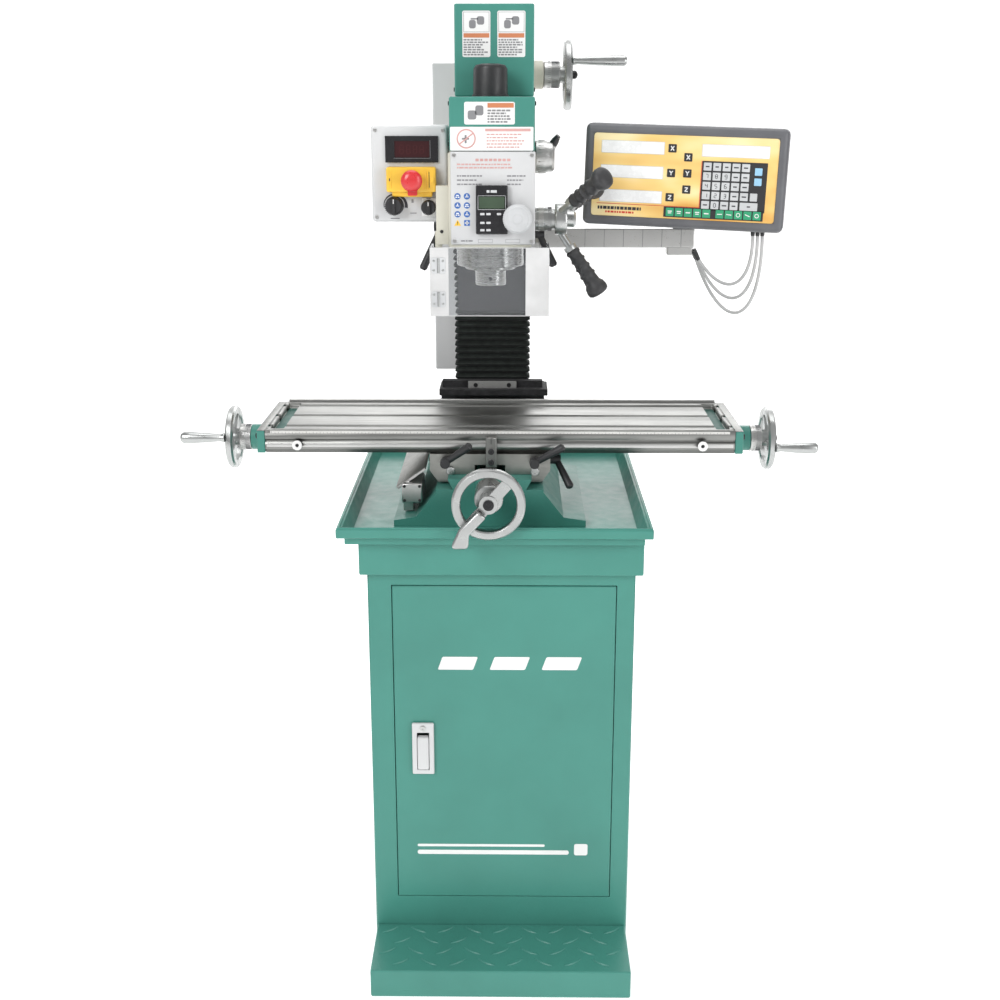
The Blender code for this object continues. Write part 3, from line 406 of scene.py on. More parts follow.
def add_box(bm, low, high, bevel=0.0, matrix=None):
    """Box between two corners, edges rounded by bevel, added to bm."""
    made = bmesh.new()
    bmesh.ops.create_cube(made, size=1.0)
    bmesh.ops.scale(made, vec=[high[k] - low[k] for k in range(3)], verts=made.verts)
    bmesh.ops.translate(made, vec=[(high[k] + low[k]) / 2 for k in range(3)], verts=made.verts)
    if bevel:
        bmesh.ops.bevel(made, geom=made.edges[:], offset=bevel, segments=2, profile=0.5, affect="EDGES")
    merge(bm, made, matrix)


def add_knurl(bm, count, low, high, place, axis, bevel=0.0):
    """Equal small boxes spaced round an axis through place."""
    for k in range(count):
        turn = place @ Matrix.Rotation(2 * math.pi * k / count, 4, axis)
        add_box(bm, low, high, bevel, turn)


AXIS_TURN = {
    "X": Matrix.Rotation(math.pi / 2, 4, "Y"),
    "Y": Matrix.Rotation(-math.pi / 2, 4, "X"),
    "Z": Matrix.Identity(4),
}


def add_turned(bm, axis, centre, profile, steps=32, matrix=None):
    """Solid of revolution: (radius, distance along axis) pairs, added to bm."""
    made = bmesh.new()
    rings = []
    for radius, along in profile:
        if radius == 0:
            rings.append([made.verts.new((0, 0, along))])
            continue
        ring = []
        for i in range(steps):
            angle = 2 * math.pi * i / steps
            ring.append(made.verts.new((radius * math.cos(angle), radius * math.sin(angle), along)))
        rings.append(ring)
    join_rings(made, rings, steps)
    place = Matrix.Translation(Vector(centre)) @ AXIS_TURN[axis]
    merge(bm, made, matrix @ place if matrix is not None else place)


def join_rings(bm, rings, steps):
    """Faces between rings of vertices, where a ring may be a single point on the axis."""
    for first, second in zip(rings, rings[1:]):
        for i in range(steps):
            j = (i + 1) % steps
            if len(first) == len(second) == 1:
                continue
            if len(first) == 1:
                bm.faces.new((first[0], second[i], second[j]))
            elif len(second) == 1:
                bm.faces.new((first[i], first[j], second[0]))
            else:
                bm.faces.new((first[i], first[j], second[j], second[i]))


def add_screw(bm, axis, place, radius, height, out):
    """Socket cap or button screw head with a hexagon recess, standing out along +axis or -axis."""
    sides = 24
    made = bmesh.new()
    rings = []
    for share, rise in ((1.0, 0.0), (1.0, 0.75), (0.85, 1.0), (0.5, 1.0), (0.46, 0.45)):
        ring = []
        for i in range(sides):
            angle = 2 * math.pi * i / sides
            reach = radius * share
            if share <= 0.5:
                within = (angle + math.pi / 6) % (math.pi / 3) - math.pi / 6
                reach *= math.cos(math.pi / 6) / math.cos(within)
            ring.append(made.verts.new((reach * math.cos(angle), reach * math.sin(angle), height * rise)))
        rings.append(ring)
    rings.append([made.verts.new((0, 0, height * 0.45))])
    join_rings(made, rings, sides)
    flip = Matrix.Identity(4) if out > 0 else Matrix.Rotation(math.pi, 4, "X")
    merge(bm, made, Matrix.Translation(Vector(place)) @ AXIS_TURN[axis] @ flip)


def add_side_screws(bm, low, high, ys, zs, radius, height):
    """Screws that stand out of both X ends of a box."""
    for x, out in ((low.x, -1), (high.x, 1)):
        for y in ys:
            for z in zs:
                add_screw(bm, "X", (x, y, z), radius, height, out)


def add_plate(bm, corners, depth, radius, axis="Y", matrix=None):
    """Thin plate with rounded corners: corners is (u0, v0, u1, v1), depth is (from, to) along axis.

    (u, v) is (x, z) for Y, (x, y) for Z and (y, z) for X.
    """
    u0, v0, u1, v1 = corners
    radius = min(radius, (u1 - u0) / 2.01, (v1 - v0) / 2.01)
    outline = []
    for cu, cv, start in (
        (u1 - radius, v1 - radius, 0), (u0 + radius, v1 - radius, 90),
        (u0 + radius, v0 + radius, 180), (u1 - radius, v0 + radius, 270),
    ):
        for k in range(5):
            angle = math.radians(start + 22.5 * k)
            outline.append((cu + radius * math.cos(angle), cv + radius * math.sin(angle)))
    made = bmesh.new()
    rows = []
    for level in depth:
        places = [{"Y": (u, level, v), "Z": (u, v, level), "X": (level, u, v)}[axis] for u, v in outline]
        rows.append([made.verts.new(place) for place in places])
    skin(made, rows)
    merge(bm, made, matrix)


def add_rod(bm, start, end, profile, steps=20):
    """Turned bar from start to end; profile is (share of the length, radius)."""
    a = Vector(start)
    b = Vector(end)
    length = (b - a).length
    turn = Matrix.Translation(a) @ (b - a).to_track_quat("Z", "Y").to_matrix().to_4x4()
    add_turned(bm, "Z", (0, 0, 0), [(radius, share * length) for share, radius in profile], steps, turn)


def straight(radius):
    """Profile of a plain rod with flat ends, for add_rod."""
    return [(0, 0), (0, radius), (1, radius), (1, 0)]


def washer(inner, outer, start, end):
    """Profile of a flat ring between two distances along its axis, for add_turned."""
    return [(inner, start), (outer, start), (outer, end), (inner, end), (inner, start)]


def add_print(bm, spots, face, matrix=None, lift=PRINT_LIFT):
    """Thin printed patches on a face that looks along -Y: (x0, z0, x1, z1, corner radius) each."""
    for x0, z0, x1, z1, corner in spots:
        add_plate(bm, (x0, z0, x1, z1), (face - lift, face + 0.1), corner, "Y", matrix)


def around(x, z, *spots):
    """The same patches as given, measured from the point (x, z)."""
    return [(x + x0, z + z0, x + x1, z + z1, corner) for x0, z0, x1, z1, corner in spots]


def border(x0, z0, x1, z1, edge, corner):
    """Four patches that frame a rectangle."""
    return [
        (x0, z0, x1, z0 + edge, corner), (x0, z1 - edge, x1, z1, corner),
        (x0, z0, x0 + edge, z1, corner), (x1 - edge, z0, x1, z1, corner),
    ]


def text_lines(x0, z0, x1, z1, rows, seed, fill=0.6):
    """Patches that stand for rows of small print, broken into words."""
    dice = random.Random(seed)
    spots = []
    pitch = (z1 - z0) / rows
    for row in range(rows):
        z = z1 - pitch * (row + 0.5)
        x = x0
        end = x0 + (x1 - x0) * dice.uniform(0.7, 1.0)
        while x < end - 1:
            word = min(dice.uniform(2.0, 6.0), end - x)
            spots.append((x, z - pitch * fill / 2, x + word, z + pitch * fill / 2, 0.2))
            x += word + 1.1
    return spots


def turned(name, look, body, axis, centre, profile, steps=32):
    bm = bmesh.new()
    add_turned(bm, axis, centre, profile, steps)
    return piece(name, bm, look, body)


def plates(name, look, body, items, edge=0.0, matrix=None):
    """One piece of plates that face along Y: (corners, depth, corner radius) each."""
    bm = bmesh.new()
    for corners, depth, radius in items:
        add_plate(bm, corners, depth, radius, "Y", matrix)
    return piece(name, bm, look, body, edge=edge)


def printed(name, look, body, spots, face, matrix=None, lift=PRINT_LIFT):
    bm = bmesh.new()
    add_print(bm, spots, face, matrix, lift)
    return piece(name, bm, look, body)


def screws(name, look, body, axis, places, radius, height, out):
    bm = bmesh.new()
    for place in places:
        add_screw(bm, axis, place, radius, height, out)
    return piece(name, bm, look, body)


# ---------------------------------------------------------------- stand
def make_step_treads():
    """Raised lozenges of the tread plate: staggered rows that lean left and right in turn."""
    low, high = box("stand_step")
    rows = 4
    columns = 9
    pitch_x = (high.x - low.x) / columns
    pitch_y = (high.y - low.y - 10) / rows
    outline = []
    for k in range(16):
        angle = 2 * math.pi * k / 16
        outline.append((15 * math.cos(angle), 3.4 * math.sin(angle) * abs(math.sin(angle)) ** 0.5))
    bm = bmesh.new()
    for row in range(rows):
        for column in range(columns + 1):
            x = low.x + pitch_x * (column + (0.5 if row % 2 else 0.0))
            if x - low.x < 16 or high.x - x < 16:
                continue
            lean = math.radians(32 if (row + column) % 2 else -32)
            place = Matrix.Translation((x, low.y + 8 + pitch_y * (row + 0.5), high.z))
            made = bmesh.new()
            base = [made.verts.new((u, v, -0.3)) for u, v in outline]
            top = [made.verts.new((u * 0.86, v * 0.6, 1.3)) for u, v in outline]
            skin(made, (base, top))
            merge(bm, made, place @ Matrix.Rotation(lean, 4, "Z"))
    piece("step_tread_pattern", bm, "green", "frame")


def make_door_stripes():
    """Plain printed stripes: three leaning bars above, one long line with an end block below."""
    low, high = box("cabinet_door")
    depth = (low.y - PRINT_LIFT, low.y + 0.2)
    width = high.x - low.x
    lean = Matrix.Identity(4)
    lean[0][2] = 0.35
    bm = bmesh.new()
    for k in range(3):
        place = Matrix.Translation((low.x + width * (0.20 + 0.235 * k), 0, high.z - 128))
        add_plate(bm, (0, 0, width * 0.16, 20), depth, 2, "Y", place @ lean)
    z = low.z + 72
    add_plate(bm, (low.x + 30, z, high.x - 62, z + 7), depth, 3)
    add_plate(bm, (low.x + 30, z + 13, high.x - 98, z + 17), depth, 2)
    add_plate(bm, (high.x - 54, z - 1, high.x - 34, z + 18), depth, 3)
    piece("door_stripes", bm, "white", "door")


def make_stand_details():
    make_step_treads()
    make_door_stripes()
    # round lip along the tray's rim, with a weld where its folds meet
    low, high = box("chip_tray")
    radius = 1.6
    xs = (low.x + 3.8, high.x - 3.8)
    ys = (low.y + 3.8, high.y - 3.8)
    bm = bmesh.new()
    for x in xs:
        add_rod(bm, (x, ys[0], high.z), (x, ys[1], high.z), straight(radius), 12)
    for y in ys:
        add_rod(bm, (xs[0], y, high.z), (xs[1], y, high.z), straight(radius), 12)
    weld = [(0, 0), (radius, 0), (radius, 4.6), (1, 5.6), (0, 5.6)]
    for x in xs:
        for y in ys:
            add_turned(bm, "Z", (x, y, high.z - 4), weld, 12)
    piece("tray_hem", bm, "green", "frame")
    # screws that hold the cap, and the latch's key slot
    low, high = box("stand_cap")
    bm = bmesh.new()
    add_side_screws(bm, low, high, (low.y + 45, high.y - 45), ((low.z + high.z) / 2,), 4.5, 2.6)
    piece("cap_screws", bm, "dark_iron", "frame")
    low, high = box("door_latch_housing")
    key = [(0, 0), (4.2, 0), (4.2, -1.2), (3.2, -1.6), (1.6, -1.6), (1.5, -0.7), (0, -0.7)]
    turned("latch_key_plug", "satin", "door", "Y", ((low.x + high.x) / 2, low.y, high.z - 7.5), key, 20)


make_stand_details()


# ---------------------------------------------------------------- table and saddle
def make_table_details():
    low, high = box("table")
    # ruler along the front edge, with a mark every 5 mm
    strip_z = high.z - 4.6
    plates("table_ruler", "ruler", "table_body", [
        ((low.x + 8, strip_z, high.x - 8, high.z - 0.9), (low.y - 0.35, low.y + 0.2), 0.4),
    ])
    bm = bmesh.new()
    for k in range(int((high.x - low.x - 20) / 5) + 1):
        x = low.x + 10 + k * 5
        tall = 2.9 if k % 10 == 0 else (2.2 if k % 2 == 0 else 1.4)
        add_box(bm, (x - 0.22, low.y - 0.45, strip_z), (x + 0.22, low.y - 0.3, strip_z + tall))
    piece("table_ruler_marks", bm, "ink_grey", "table_body")
    # light rail in the front groove, where the stops run
    bm = bmesh.new()
    add_box(bm, (low.x + 2, low.y - 0.2, low.z + 9), (high.x - 2, low.y + 1, low.z + 14.5), 0.3)
    piece("stop_rail", bm, "satin", "table_body")
    # green paint in the end troughs, darkened as painted shade of the recesses
    floor_z = high.z - 8.7
    bm = bmesh.new()
    for x in (low.x + 7.2, high.x - 24.8):
        add_box(bm, (x, low.y + 11.2, floor_z - 0.2), (x + 17.6, high.y - 11.2, floor_z + 0.4), 0.15)
    piece("trough_paint_with_painted_shade", bm, "green_painted_shade", "table_body")
    # screws of the end brackets and of the rear rail
    bm = bmesh.new()
    for side, node, x in ((-1, "table_bracket_left", low.x - 12), (1, "table_bracket_right", high.x + 12)):
        b_low, b_high = box(node)
        for y in (b_low.y + 18, b_high.y - 18):
            add_screw(bm, "X", (x, y, high.z - 13), 4.6, 4.5, side)
    r_low, r_high = box("x_scale_rail")
    for k in range(5):
        x = r_low.x + 20 + (r_high.x - r_low.x - 40) * k / 4
        add_screw(bm, "Y", (x, r_high.y - 0.1, r_low.z + 10), 3.2, 0.25, 1)
    piece("table_screws", bm, "dark_iron", "table_body")
    # white rings round the two stops
    ring = [(2.6, 0), (7.2, 0), (7.2, -1.4), (6.6, -2), (3.4, -2), (2.6, -1.2), (2.6, 0)]
    for side in ("left", "right"):
        s_low, s_high = box(f"table_stop_{side}")
        centre = ((s_low.x + s_high.x) / 2, s_low.y + 0.4, (s_low.z + s_high.z) / 2)
        turned(f"stop_ring_{side}", "white", "table_body", "Y", centre, ring, 28)


def make_saddle_details():
    """Saddle's gib screws and round bosses; the index block's engraved line and screws."""
    low, high = box("saddle")
    bm = bmesh.new()
    add_side_screws(bm, low, high, (-78, 20, 62), (high.z - 22,), 3.4, 2.4)
    piece("saddle_gib_screws", bm, "dark_iron", "saddle_body")
    boss = [(0, 0), (6.5, 0), (6.5, -2.6), (5.6, -3.4), (3, -3.4), (2.6, -2.2), (0, -2.2)]
    bm = bmesh.new()
    for x, z in ((high.x - 22, low.z + 32), (low.x + 30, low.z + 33)):
        add_turned(bm, "Y", (x, low.y, z), boss, 28)
    piece("saddle_bosses", bm, "chrome", "saddle_body")
    low, high = box("index_block")
    middle = (low.x + high.x) / 2
    bm = bmesh.new()
    add_box(bm, (middle - 0.35, low.y - 0.05, high.z - 9), (middle + 0.35, low.y + 2.2, high.z - 1))
    for z in (low.z + 9, low.z + 25):
        add_screw(bm, "Y", (middle, low.y + 0.2, z), 4.4, 2.4, -1)
    piece("index_screws", bm, "black", "saddle_body")


def make_scale_details():
    """Cross-slide scale box, way cover's clamp, bracket tops and the seams of the display's arm."""
    low, high = box("y_scale_reader")
    lean = Matrix.Rotation(-math.atan2(29.0, 42.0), 4, "Y")
    bm = bmesh.new()
    place = Matrix.Translation((low.x, 0, low.z + 39)) @ lean
    add_box(bm, (0.6, low.y + 10.3, 0.25), (50.2, high.y - 40.5, 0.8), 0.2, place)
    piece("scale_cover_skin", bm, "iron", "frame")
    places = [(x, low.y, z) for x in (low.x + 12.5, low.x + 34.5) for z in (high.z - 24.5, high.z - 45.5)]
    screws("scale_box_screws", "black", "frame", "Y", places, 2.3, 1.0, -1)
    low, high = box("rear_way_cover")
    face = low.y + 9
    plate = (low.x + 45.6, high.z - 13.4, low.x + 122.4, high.z - 0.4)
    plates("way_cover_clamp", "satin", "frame", [(plate, (face - 0.5, face - 0.02), 1.5)])
    places = [(x, face - 0.5, (plate[1] + plate[3]) / 2) for x in (plate[0] + 12, plate[2] - 12)]
    screws("way_cover_screws", "dark_iron", "frame", "Y", places, 3.4, 2.0, -1)
    low, high = box("head_casting")
    places = [(low.x + 10, low.y + 7, high.z - 110)]
    screws("guard_bracket_screw", "black", "head", "Y", places, 2.4, 1.2, -1)
    low, high = box("table")
    bm = bmesh.new()
    for x in (low.x - 11.6, high.x + 0.6):
        add_box(bm, (x, low.y + 0.6, high.z - 1.1), (x + 11, high.y - 0.6, high.z - 0.4), 0.2)
    piece("bracket_tops", bm, "steel", "table_body")
    low, high = box("dro_arm")
    bm = bmesh.new()
    for k in range(7):
        x = low.x + 52 + k * 30
        add_box(bm, (x - 0.4, low.y - 0.25, low.z + 13.2), (x + 0.4, low.y + 0.1, low.z + 40.8), 0.1)
    piece("arm_seams", bm, "ink_grey", "readout_arm")


make_table_details()
make_saddle_details()
make_scale_details()


# ---------------------------------------------------------------- dials and hand wheels
def make_dial(name, axis, centre, span, radius, body):
    """Graduated collar: satin sleeve with a knurled ring and engraved marks all round."""
    low, high = span
    middle = low + (high - low) * 0.42
    sleeve = [
        (radius - 0.5, low), (radius + 0.6, low + 0.8), (radius + 0.6, middle),
        (radius + 0.1, middle + 0.4), (radius + 0.1, high - 0.6), (radius - 0.6, high),
    ]
    turned(name + "_sleeve", "satin", body, axis, centre, sleeve, 48)
    bm = bmesh.new()
    turn = Matrix.Translation(Vector(centre)) @ AXIS_TURN[axis]
    for k in range(40):
        tall = (middle - low) * (0.75 if k % 5 == 0 else 0.45)
        spin = Matrix.Rotation(2 * math.pi * k / 40, 4, "Z")
        low_corner = (radius + 0.45, -0.22, middle - tall)
        add_box(bm, low_corner, (radius + 0.72, 0.22, middle - 0.3), 0.0, turn @ spin)
    add_knurl(bm, 72, (radius - 0.2, -0.3, middle + 1.2), (radius + 0.4, 0.3, high - 1.2), turn, "Z")
    piece(name + "_marks", bm, "ink_grey", body)


def make_wheel_nut(name, centre, at, out, body):
    """Acorn nut and washer on the wheel's hub."""
    nut = [(0, 0), (9, 0), (9, 1.6), (8, 2), (6.5, 2), (6.5, 8), (4.5, 10.5), (0, 12)]
    turned(name, "dark_iron", body, "X", centre, [(r, at + out * d) for r, d in nut], 24)


def make_wheels():
    for side, out in (("left", -1), ("right", 1)):
        low, high = box(f"x_handwheel_{side}")
        centre = (0.0, (low.y + high.y) / 2, (low.z + high.z) / 2)
        inner, outer = (high.x, low.x) if out < 0 else (low.x, high.x)
        make_dial(f"x_dial_{side}", "X", centre, sorted((inner, inner + out * 17)), 19, "x_screw")
        make_wheel_nut(f"x_wheel_nut_{side}", centre, outer - out * 1.5, out, "x_screw")
    low, high = box("z_handwheel")
    centre = (0.0, (low.y + high.y) / 2, (low.z + high.z) / 2)
    boss_end = box("z_handwheel_grip")[0].x - 44
    make_dial("z_dial", "X", centre, (boss_end + 0.4, boss_end + 25), 20, "z_screw")
    make_wheel_nut("z_wheel_nut", centre, high.x - 1.5, 1, "z_screw")
    low, high = box("y_handwheel")
    centre = ((low.x + high.x) / 2, 0.0, (low.z + high.z) / 2)
    make_dial("y_dial", "Y", centre, (low.y + 25, low.y + 62), 18.2, "y_screw")
    hub = [(0, 0.3), (7.5, 0.3), (7.5, -0.3), (3.4, -0.6), (3.2, -0.2), (0, -0.2)]
    turned("y_wheel_washer", "dark_iron", "y_screw", "Y", (centre[0], low.y, centre[2]), hub, 28)


make_wheels()


# ---------------------------------------------------------------- head
def make_label(name, corners, face, seed, picture=True):
    """Blank-worded plate: white card, outlined picture field, one coloured bar and rows of small print."""
    x0, z0, x1, z1 = corners
    plates(name + "_card", "white", "head", [(corners, (face - 0.35, face + 0.1), 2.5)])
    front = face - 0.35
    width = x1 - x0
    height = z1 - z0
    inset = 1.6
    if picture:
        low = z1 - height * 0.46
        shapes = border(x0 + inset, low, x1 - inset, z1 - inset, 0.5, 0.1)
        shapes += [
            (x0 + width * 0.24, low + height * 0.08, x0 + width * 0.48, low + height * 0.26, 3),
            (x0 + width * 0.52, low + height * 0.16, x0 + width * 0.78, low + height * 0.34, 3),
            (x0 + width * 0.30, low + height * 0.27, x0 + width * 0.56, low + height * 0.30, 0.5),
        ]
        words = (x0 + inset, z0 + inset, x1 - inset, z1 - height * 0.60)
        bar = (x0 + inset, z1 - height * 0.58, x1 - inset, z1 - height * 0.485, 0.3)
    else:
        shapes = [
            (x0 + width * 0.07, z0 + height * 0.22, x0 + width * 0.24, z0 + height * 0.62, 3),
            (x0 + width * 0.22, z0 + height * 0.40, x0 + width * 0.38, z0 + height * 0.84, 3),
        ]
        words = (x0 + width * 0.46, z0 + inset, x1 - inset, z1 - height * 0.32)
        bar = (x0 + width * 0.46, z1 - height * 0.26, x1 - inset, z1 - inset, 0.3)
    rows = max(2, int((words[3] - words[1]) / 3.2))
    printed(name + "_print", "ink_grey", "head", shapes + text_lines(*words, rows, seed), front)
    printed(name + "_bar", "ink_rust", "head", [bar], front)


def make_head_labels():
    low, high = box("motor_cover")
    width = high.x - low.x
    top = high.z - 10
    make_label("guide_left", (low.x + 0.103 * width, top - 63, low.x + 0.452 * width, top), low.y, 3)
    make_label("guide_right", (low.x + 0.539 * width, top - 63, low.x + 0.888 * width, top), low.y, 4)
    low, high = box("head_top_cover")
    make_label("guide_band", (low.x + 21, high.z - 37, low.x + 90, high.z - 7), low.y, 5, False)
    # white card over the lower part of the cover: a ring sign, a bar and small print
    card = (low.x + 1.5, low.z + 0.8, high.x - 2, low.z + 32.5)
    front = low.y - 0.5
    plates("band_card", "white", "head", [(card, (front, low.y + 0.1), 1.5)])
    x = card[0] + 22
    z = (card[1] + card[3]) / 2
    bm = bmesh.new()
    add_turned(bm, "Y", (x, front, z), washer(11.2, 13.2, 0.1, -0.3), 40)
    slash = Matrix.Translation((x, 0, z)) @ Matrix.Rotation(math.radians(-38), 4, "Y")
    add_plate(bm, (-11.5, -0.9, 11.5, 0.9), (front - 0.28, front + 0.1), 0.3, "Y", slash)
    add_print(bm, [(card[0] + 48, card[3] - 6, card[2] - 4, card[3] - 2.4, 0.3)], front)
    piece("band_sign", bm, "ink_rose", "head")
    tool = around(x, z, (-6, -1.2, 4, 1.2, 0.5), (-2, -6, 0.6, 5, 0.5))
    printed("band_sign_tool", "ink_grey", "head", tool, front)
    words = text_lines(card[0] + 50, card[1] + 2.5, card[2] - 6, card[3] - 8, 5, 11, 0.4)
    printed("band_words", "ink_rose", "head", words, front)


def make_panel_signs(left, top, front):
    """Seven round or square signs and one triangle, in two columns down the front panel."""
    mark_lift = 0.4
    discs = bmesh.new()
    marks = bmesh.new()
    for row, drop in enumerate((60.5, 73.0, 85.0)):
        for column, across in enumerate((9.5, 22.5)):
            x = left + across
            z = top - drop
            add_turned(discs, "Y", (x, front, z), [(0, 0.1), (4.4, 0.1), (4.4, -0.25), (0, -0.25)], 28)
            if (row + column) % 2:
                spots = around(x, z, (-2.4, -1.4, 2.4, -0.2, 0.4), (-0.7, -1, 0.7, 2.6, 0.4))
            else:
                feet = ((-2.8, -2, -0.5, -0.4, 0.5), (0.5, -2, 2.8, -0.4, 0.5))
                spots = around(x, z, (-2, 0.4, 2, 2, 0.6), *feet)
            add_print(marks, spots, front, None, mark_lift)
    z = top - 97
    add_plate(discs, (left + 18.5, z - 4, left + 26.5, z + 4), (front - 0.25, front + 0.1), 0.8)
    cross = around(left + 22.5, z, (-3, -0.8, 3, 0.8, 0.2), (-0.8, -3, 0.8, 3, 0.2))
    add_print(marks, cross, front, None, mark_lift)
    piece("panel_signs", discs, "ink_blue", "head")
    piece("panel_sign_marks", marks, "white", "head")
    x = left + 9.5
    bm = bmesh.new()
    corners = ((-4.8, -3.8), (4.8, -3.8), (0, 4.6))
    skin(bm, [[bm.verts.new((x + u, y, z + v)) for u, v in corners] for y in (front - 0.25, front + 0.1)])
    piece("panel_triangle", bm, "yellow", "head")
    mark = around(x, z, (-0.5, -1, 0.5, 2, 0.2), (-0.5, -2.6, 0.5, -1.7, 0.2))
    printed("panel_triangle_mark", "ink", "head", mark, front, None, mark_lift)


def make_front_panel():
    low, high = box("head_front_panel")
    front = low.y
    places = [(x, front, z) for x in (low.x + 5, high.x - 5) for z in (low.z + 5, high.z - 5)]
    screws("panel_screws", "satin", "head", "Y", places, 2.6, 1.4, -1)
    left = (low.x + high.x) / 2 - 24
    heading = [(left + k * 6.2, high.z - 13, left + k * 6.2 + 4.6, high.z - 9.6, 0.8) for k in range(8)]
    heading += text_lines(low.x + 9, high.z - 24, high.x - 9, high.z - 15, 2, 21, 0.42)
    printed("panel_heading", "ink_rose", "head", heading, front)
    words = text_lines(low.x + 9, high.z - 47, low.x + 44, high.z - 30, 3, 22, 0.34)
    words += text_lines(low.x + 78, high.z - 47, low.x + 104, high.z - 30, 3, 23, 0.34)
    words += text_lines(low.x + 14, low.z + 3.5, low.x + 34, low.z + 7, 1, 24, 0.5)
    for x in (low.x + 38, low.x + 76):
        words += border(x, low.z + 2.6, x + 20, low.z + 7.6, 0.35, 0.05)
    printed("panel_words", "ink_grey", "head", words, front)
    make_panel_signs(low.x, high.z, front)


def make_depth_module():
    """Glass, frame and keys of the small depth display."""
    low, high = box("depth_display")
    front = low.y
    pane = (low.x + 4.4, high.z - 31.6, high.x - 4.4, high.z - 15.4)
    plates("depth_glass", "lcd", "head", [(pane, (front + 0.7, front + 1.5), 0.8)])
    spots = border(pane[0] - 1.6, pane[1] - 1.6, pane[2] + 1.6, pane[3] + 1.6, 0.5, 0.1)
    spots += around(low.x, high.z, (15, -10, 19, -6.5, 0.6), (20.5, -10, 29, -6.5, 0.6))
    printed("depth_frame", "pale", "head", spots, front)
    keys = []
    for x, drop in ((7, 39), (15.5, 39), (30, 39), (7, 51), (15.5, 51), (7, 61), (15.5, 61)):
        x += low.x + 2
        z = high.z - drop
        keys.append(((x - 3, z - 1.5, x + 3, z + 1.5), (front - 0.8, front + 0.1), 0.7))
    plates("depth_keys", "pale", "head", keys)


def make_nose():
    """Turned steel sleeve, cap screws and pin hole round the quill."""
    low, high = box("quill")
    x = (low.x + high.x) / 2
    y = (low.y + high.y) / 2
    inner = (high.x - low.x) / 2 + 0.5
    foot = low.z + 5.5
    sleeve = [
        (inner, 0), (47.8, 0), (48.6, 0.8), (48.6, 14), (48.1, 14.6), (48.1, 16.4), (48.6, 17), (48.6, 30.2),
        (48.02, 30.2), (48.02, 3), (45.8, 0.45), (inner, 0.45), (inner, 0),
    ]
    turned("nose_sleeve", "steel_z", "head", "Z", (x, y, foot), sleeve, 56)
    places = []
    for k in range(6):
        angle = math.radians(30 + 60 * k)
        places.append((x + 42 * math.cos(angle), y + 42 * math.sin(angle), foot))
    screws("nose_screws", "dark_iron", "head", "Z", places, 2.6, 1.6, -1)
    low, high = box("spindle")
    hole = [(0, 0.4), (2.8, 0.4), (2.8, -0.15), (0, -0.15)]
    turned("spindle_pin_hole", "ink", "spindle_body", "Y", (x, low.y, low.z + 11), hole, 20)
    r = (high.x - low.x) / 2
    band = [(r - 0.2, 0), (r + 0.25, 0.2), (r + 0.25, 0.9), (r - 0.2, 1.1), (r - 0.2, 0)]
    bm = bmesh.new()
    for z in (low.z + 4, low.z + 19):
        add_turned(bm, "Z", (x, y, z), band, 48)
    piece("spindle_rings", bm, "chrome", "spindle_body")


def make_knob_details():
    # gear selector: black pointer and ribs
    low, high = box("gear_selector_knob")
    y = (low.y + high.y) / 2
    bm = bmesh.new()
    tip = [(0, 0), (0, 6.4), (0.6, 5.4), (1, 3.4), (1, 0)]
    add_rod(bm, (high.x - 13, y, low.z + 36), (high.x - 2.6, y - 6.4, low.z + 52.4), tip, 16)
    piece("gear_pointer_tip", bm, "black", "gear_knob")
    bm = bmesh.new()
    place = Matrix.Translation((0, y, low.z + 23))
    add_knurl(bm, 24, (high.x - 31, -0.8, 22.4), (high.x - 22, 0.8, 23.4), place, "X", 0.25)
    piece("gear_knob_ribs", bm, "satin", "gear_knob")
    # fine feed knob: face ring and knurl
    low, high = box("fine_feed_knob")
    centre = ((low.x + high.x) / 2, low.y, (low.z + high.z) / 2)
    ring = [(7, 0.2), (14, 0.2), (14.6, -0.4), (14, -0.7), (7.6, -0.7), (7, -0.4), (7, 0.2)]
    bm = bmesh.new()
    add_turned(bm, "Y", centre, ring, 36)
    add_knurl(bm, 40, (-0.5, 3.4, 19.7), (0.5, 9.6, 20.4), Matrix.Translation(centre), "Y")
    piece("fine_feed_grip", bm, "pale", "fine_knob")
    # drawbar cap: thin ring at the foot
    low, high = box("drawbar_cap")
    centre = ((low.x + high.x) / 2, (low.y + high.y) / 2, low.z)
    ring = [(24.3, 0.2), (26, 0.2), (26, 2.4), (24.3, 3), (24.3, 0.2)]
    turned("drawbar_cap_foot", "black", "head", "Z", centre, ring, 40)


make_head_labels()
make_front_panel()
make_depth_module()
make_nose()
make_knob_details()


# ---------------------------------------------------------------- downfeed
HUB_HEIGHT = 1093.0
LEVER_REACH = 107.0
LEVER_ANGLES = (-82.0, 38.0, 158.0)
GRIP_PROFILE = (
    (0.345, 0), (0.345, 8.4), (0.36, 10.2), (0.385, 10.6), (0.41, 8.8), (0.46, 9.3), (0.49, 11.2),
    (0.52, 9.2), (0.57, 9.8), (0.60, 11.8), (0.63, 9.8), (0.68, 10.4), (0.71, 12.4), (0.74, 10.5),
    (0.79, 11.2), (0.83, 11.6), (0.87, 14.6), (0.93, 16.0), (0.975, 15.2), (1.0, 11.5), (1.01, 6.0),
    (1.012, 0),
)


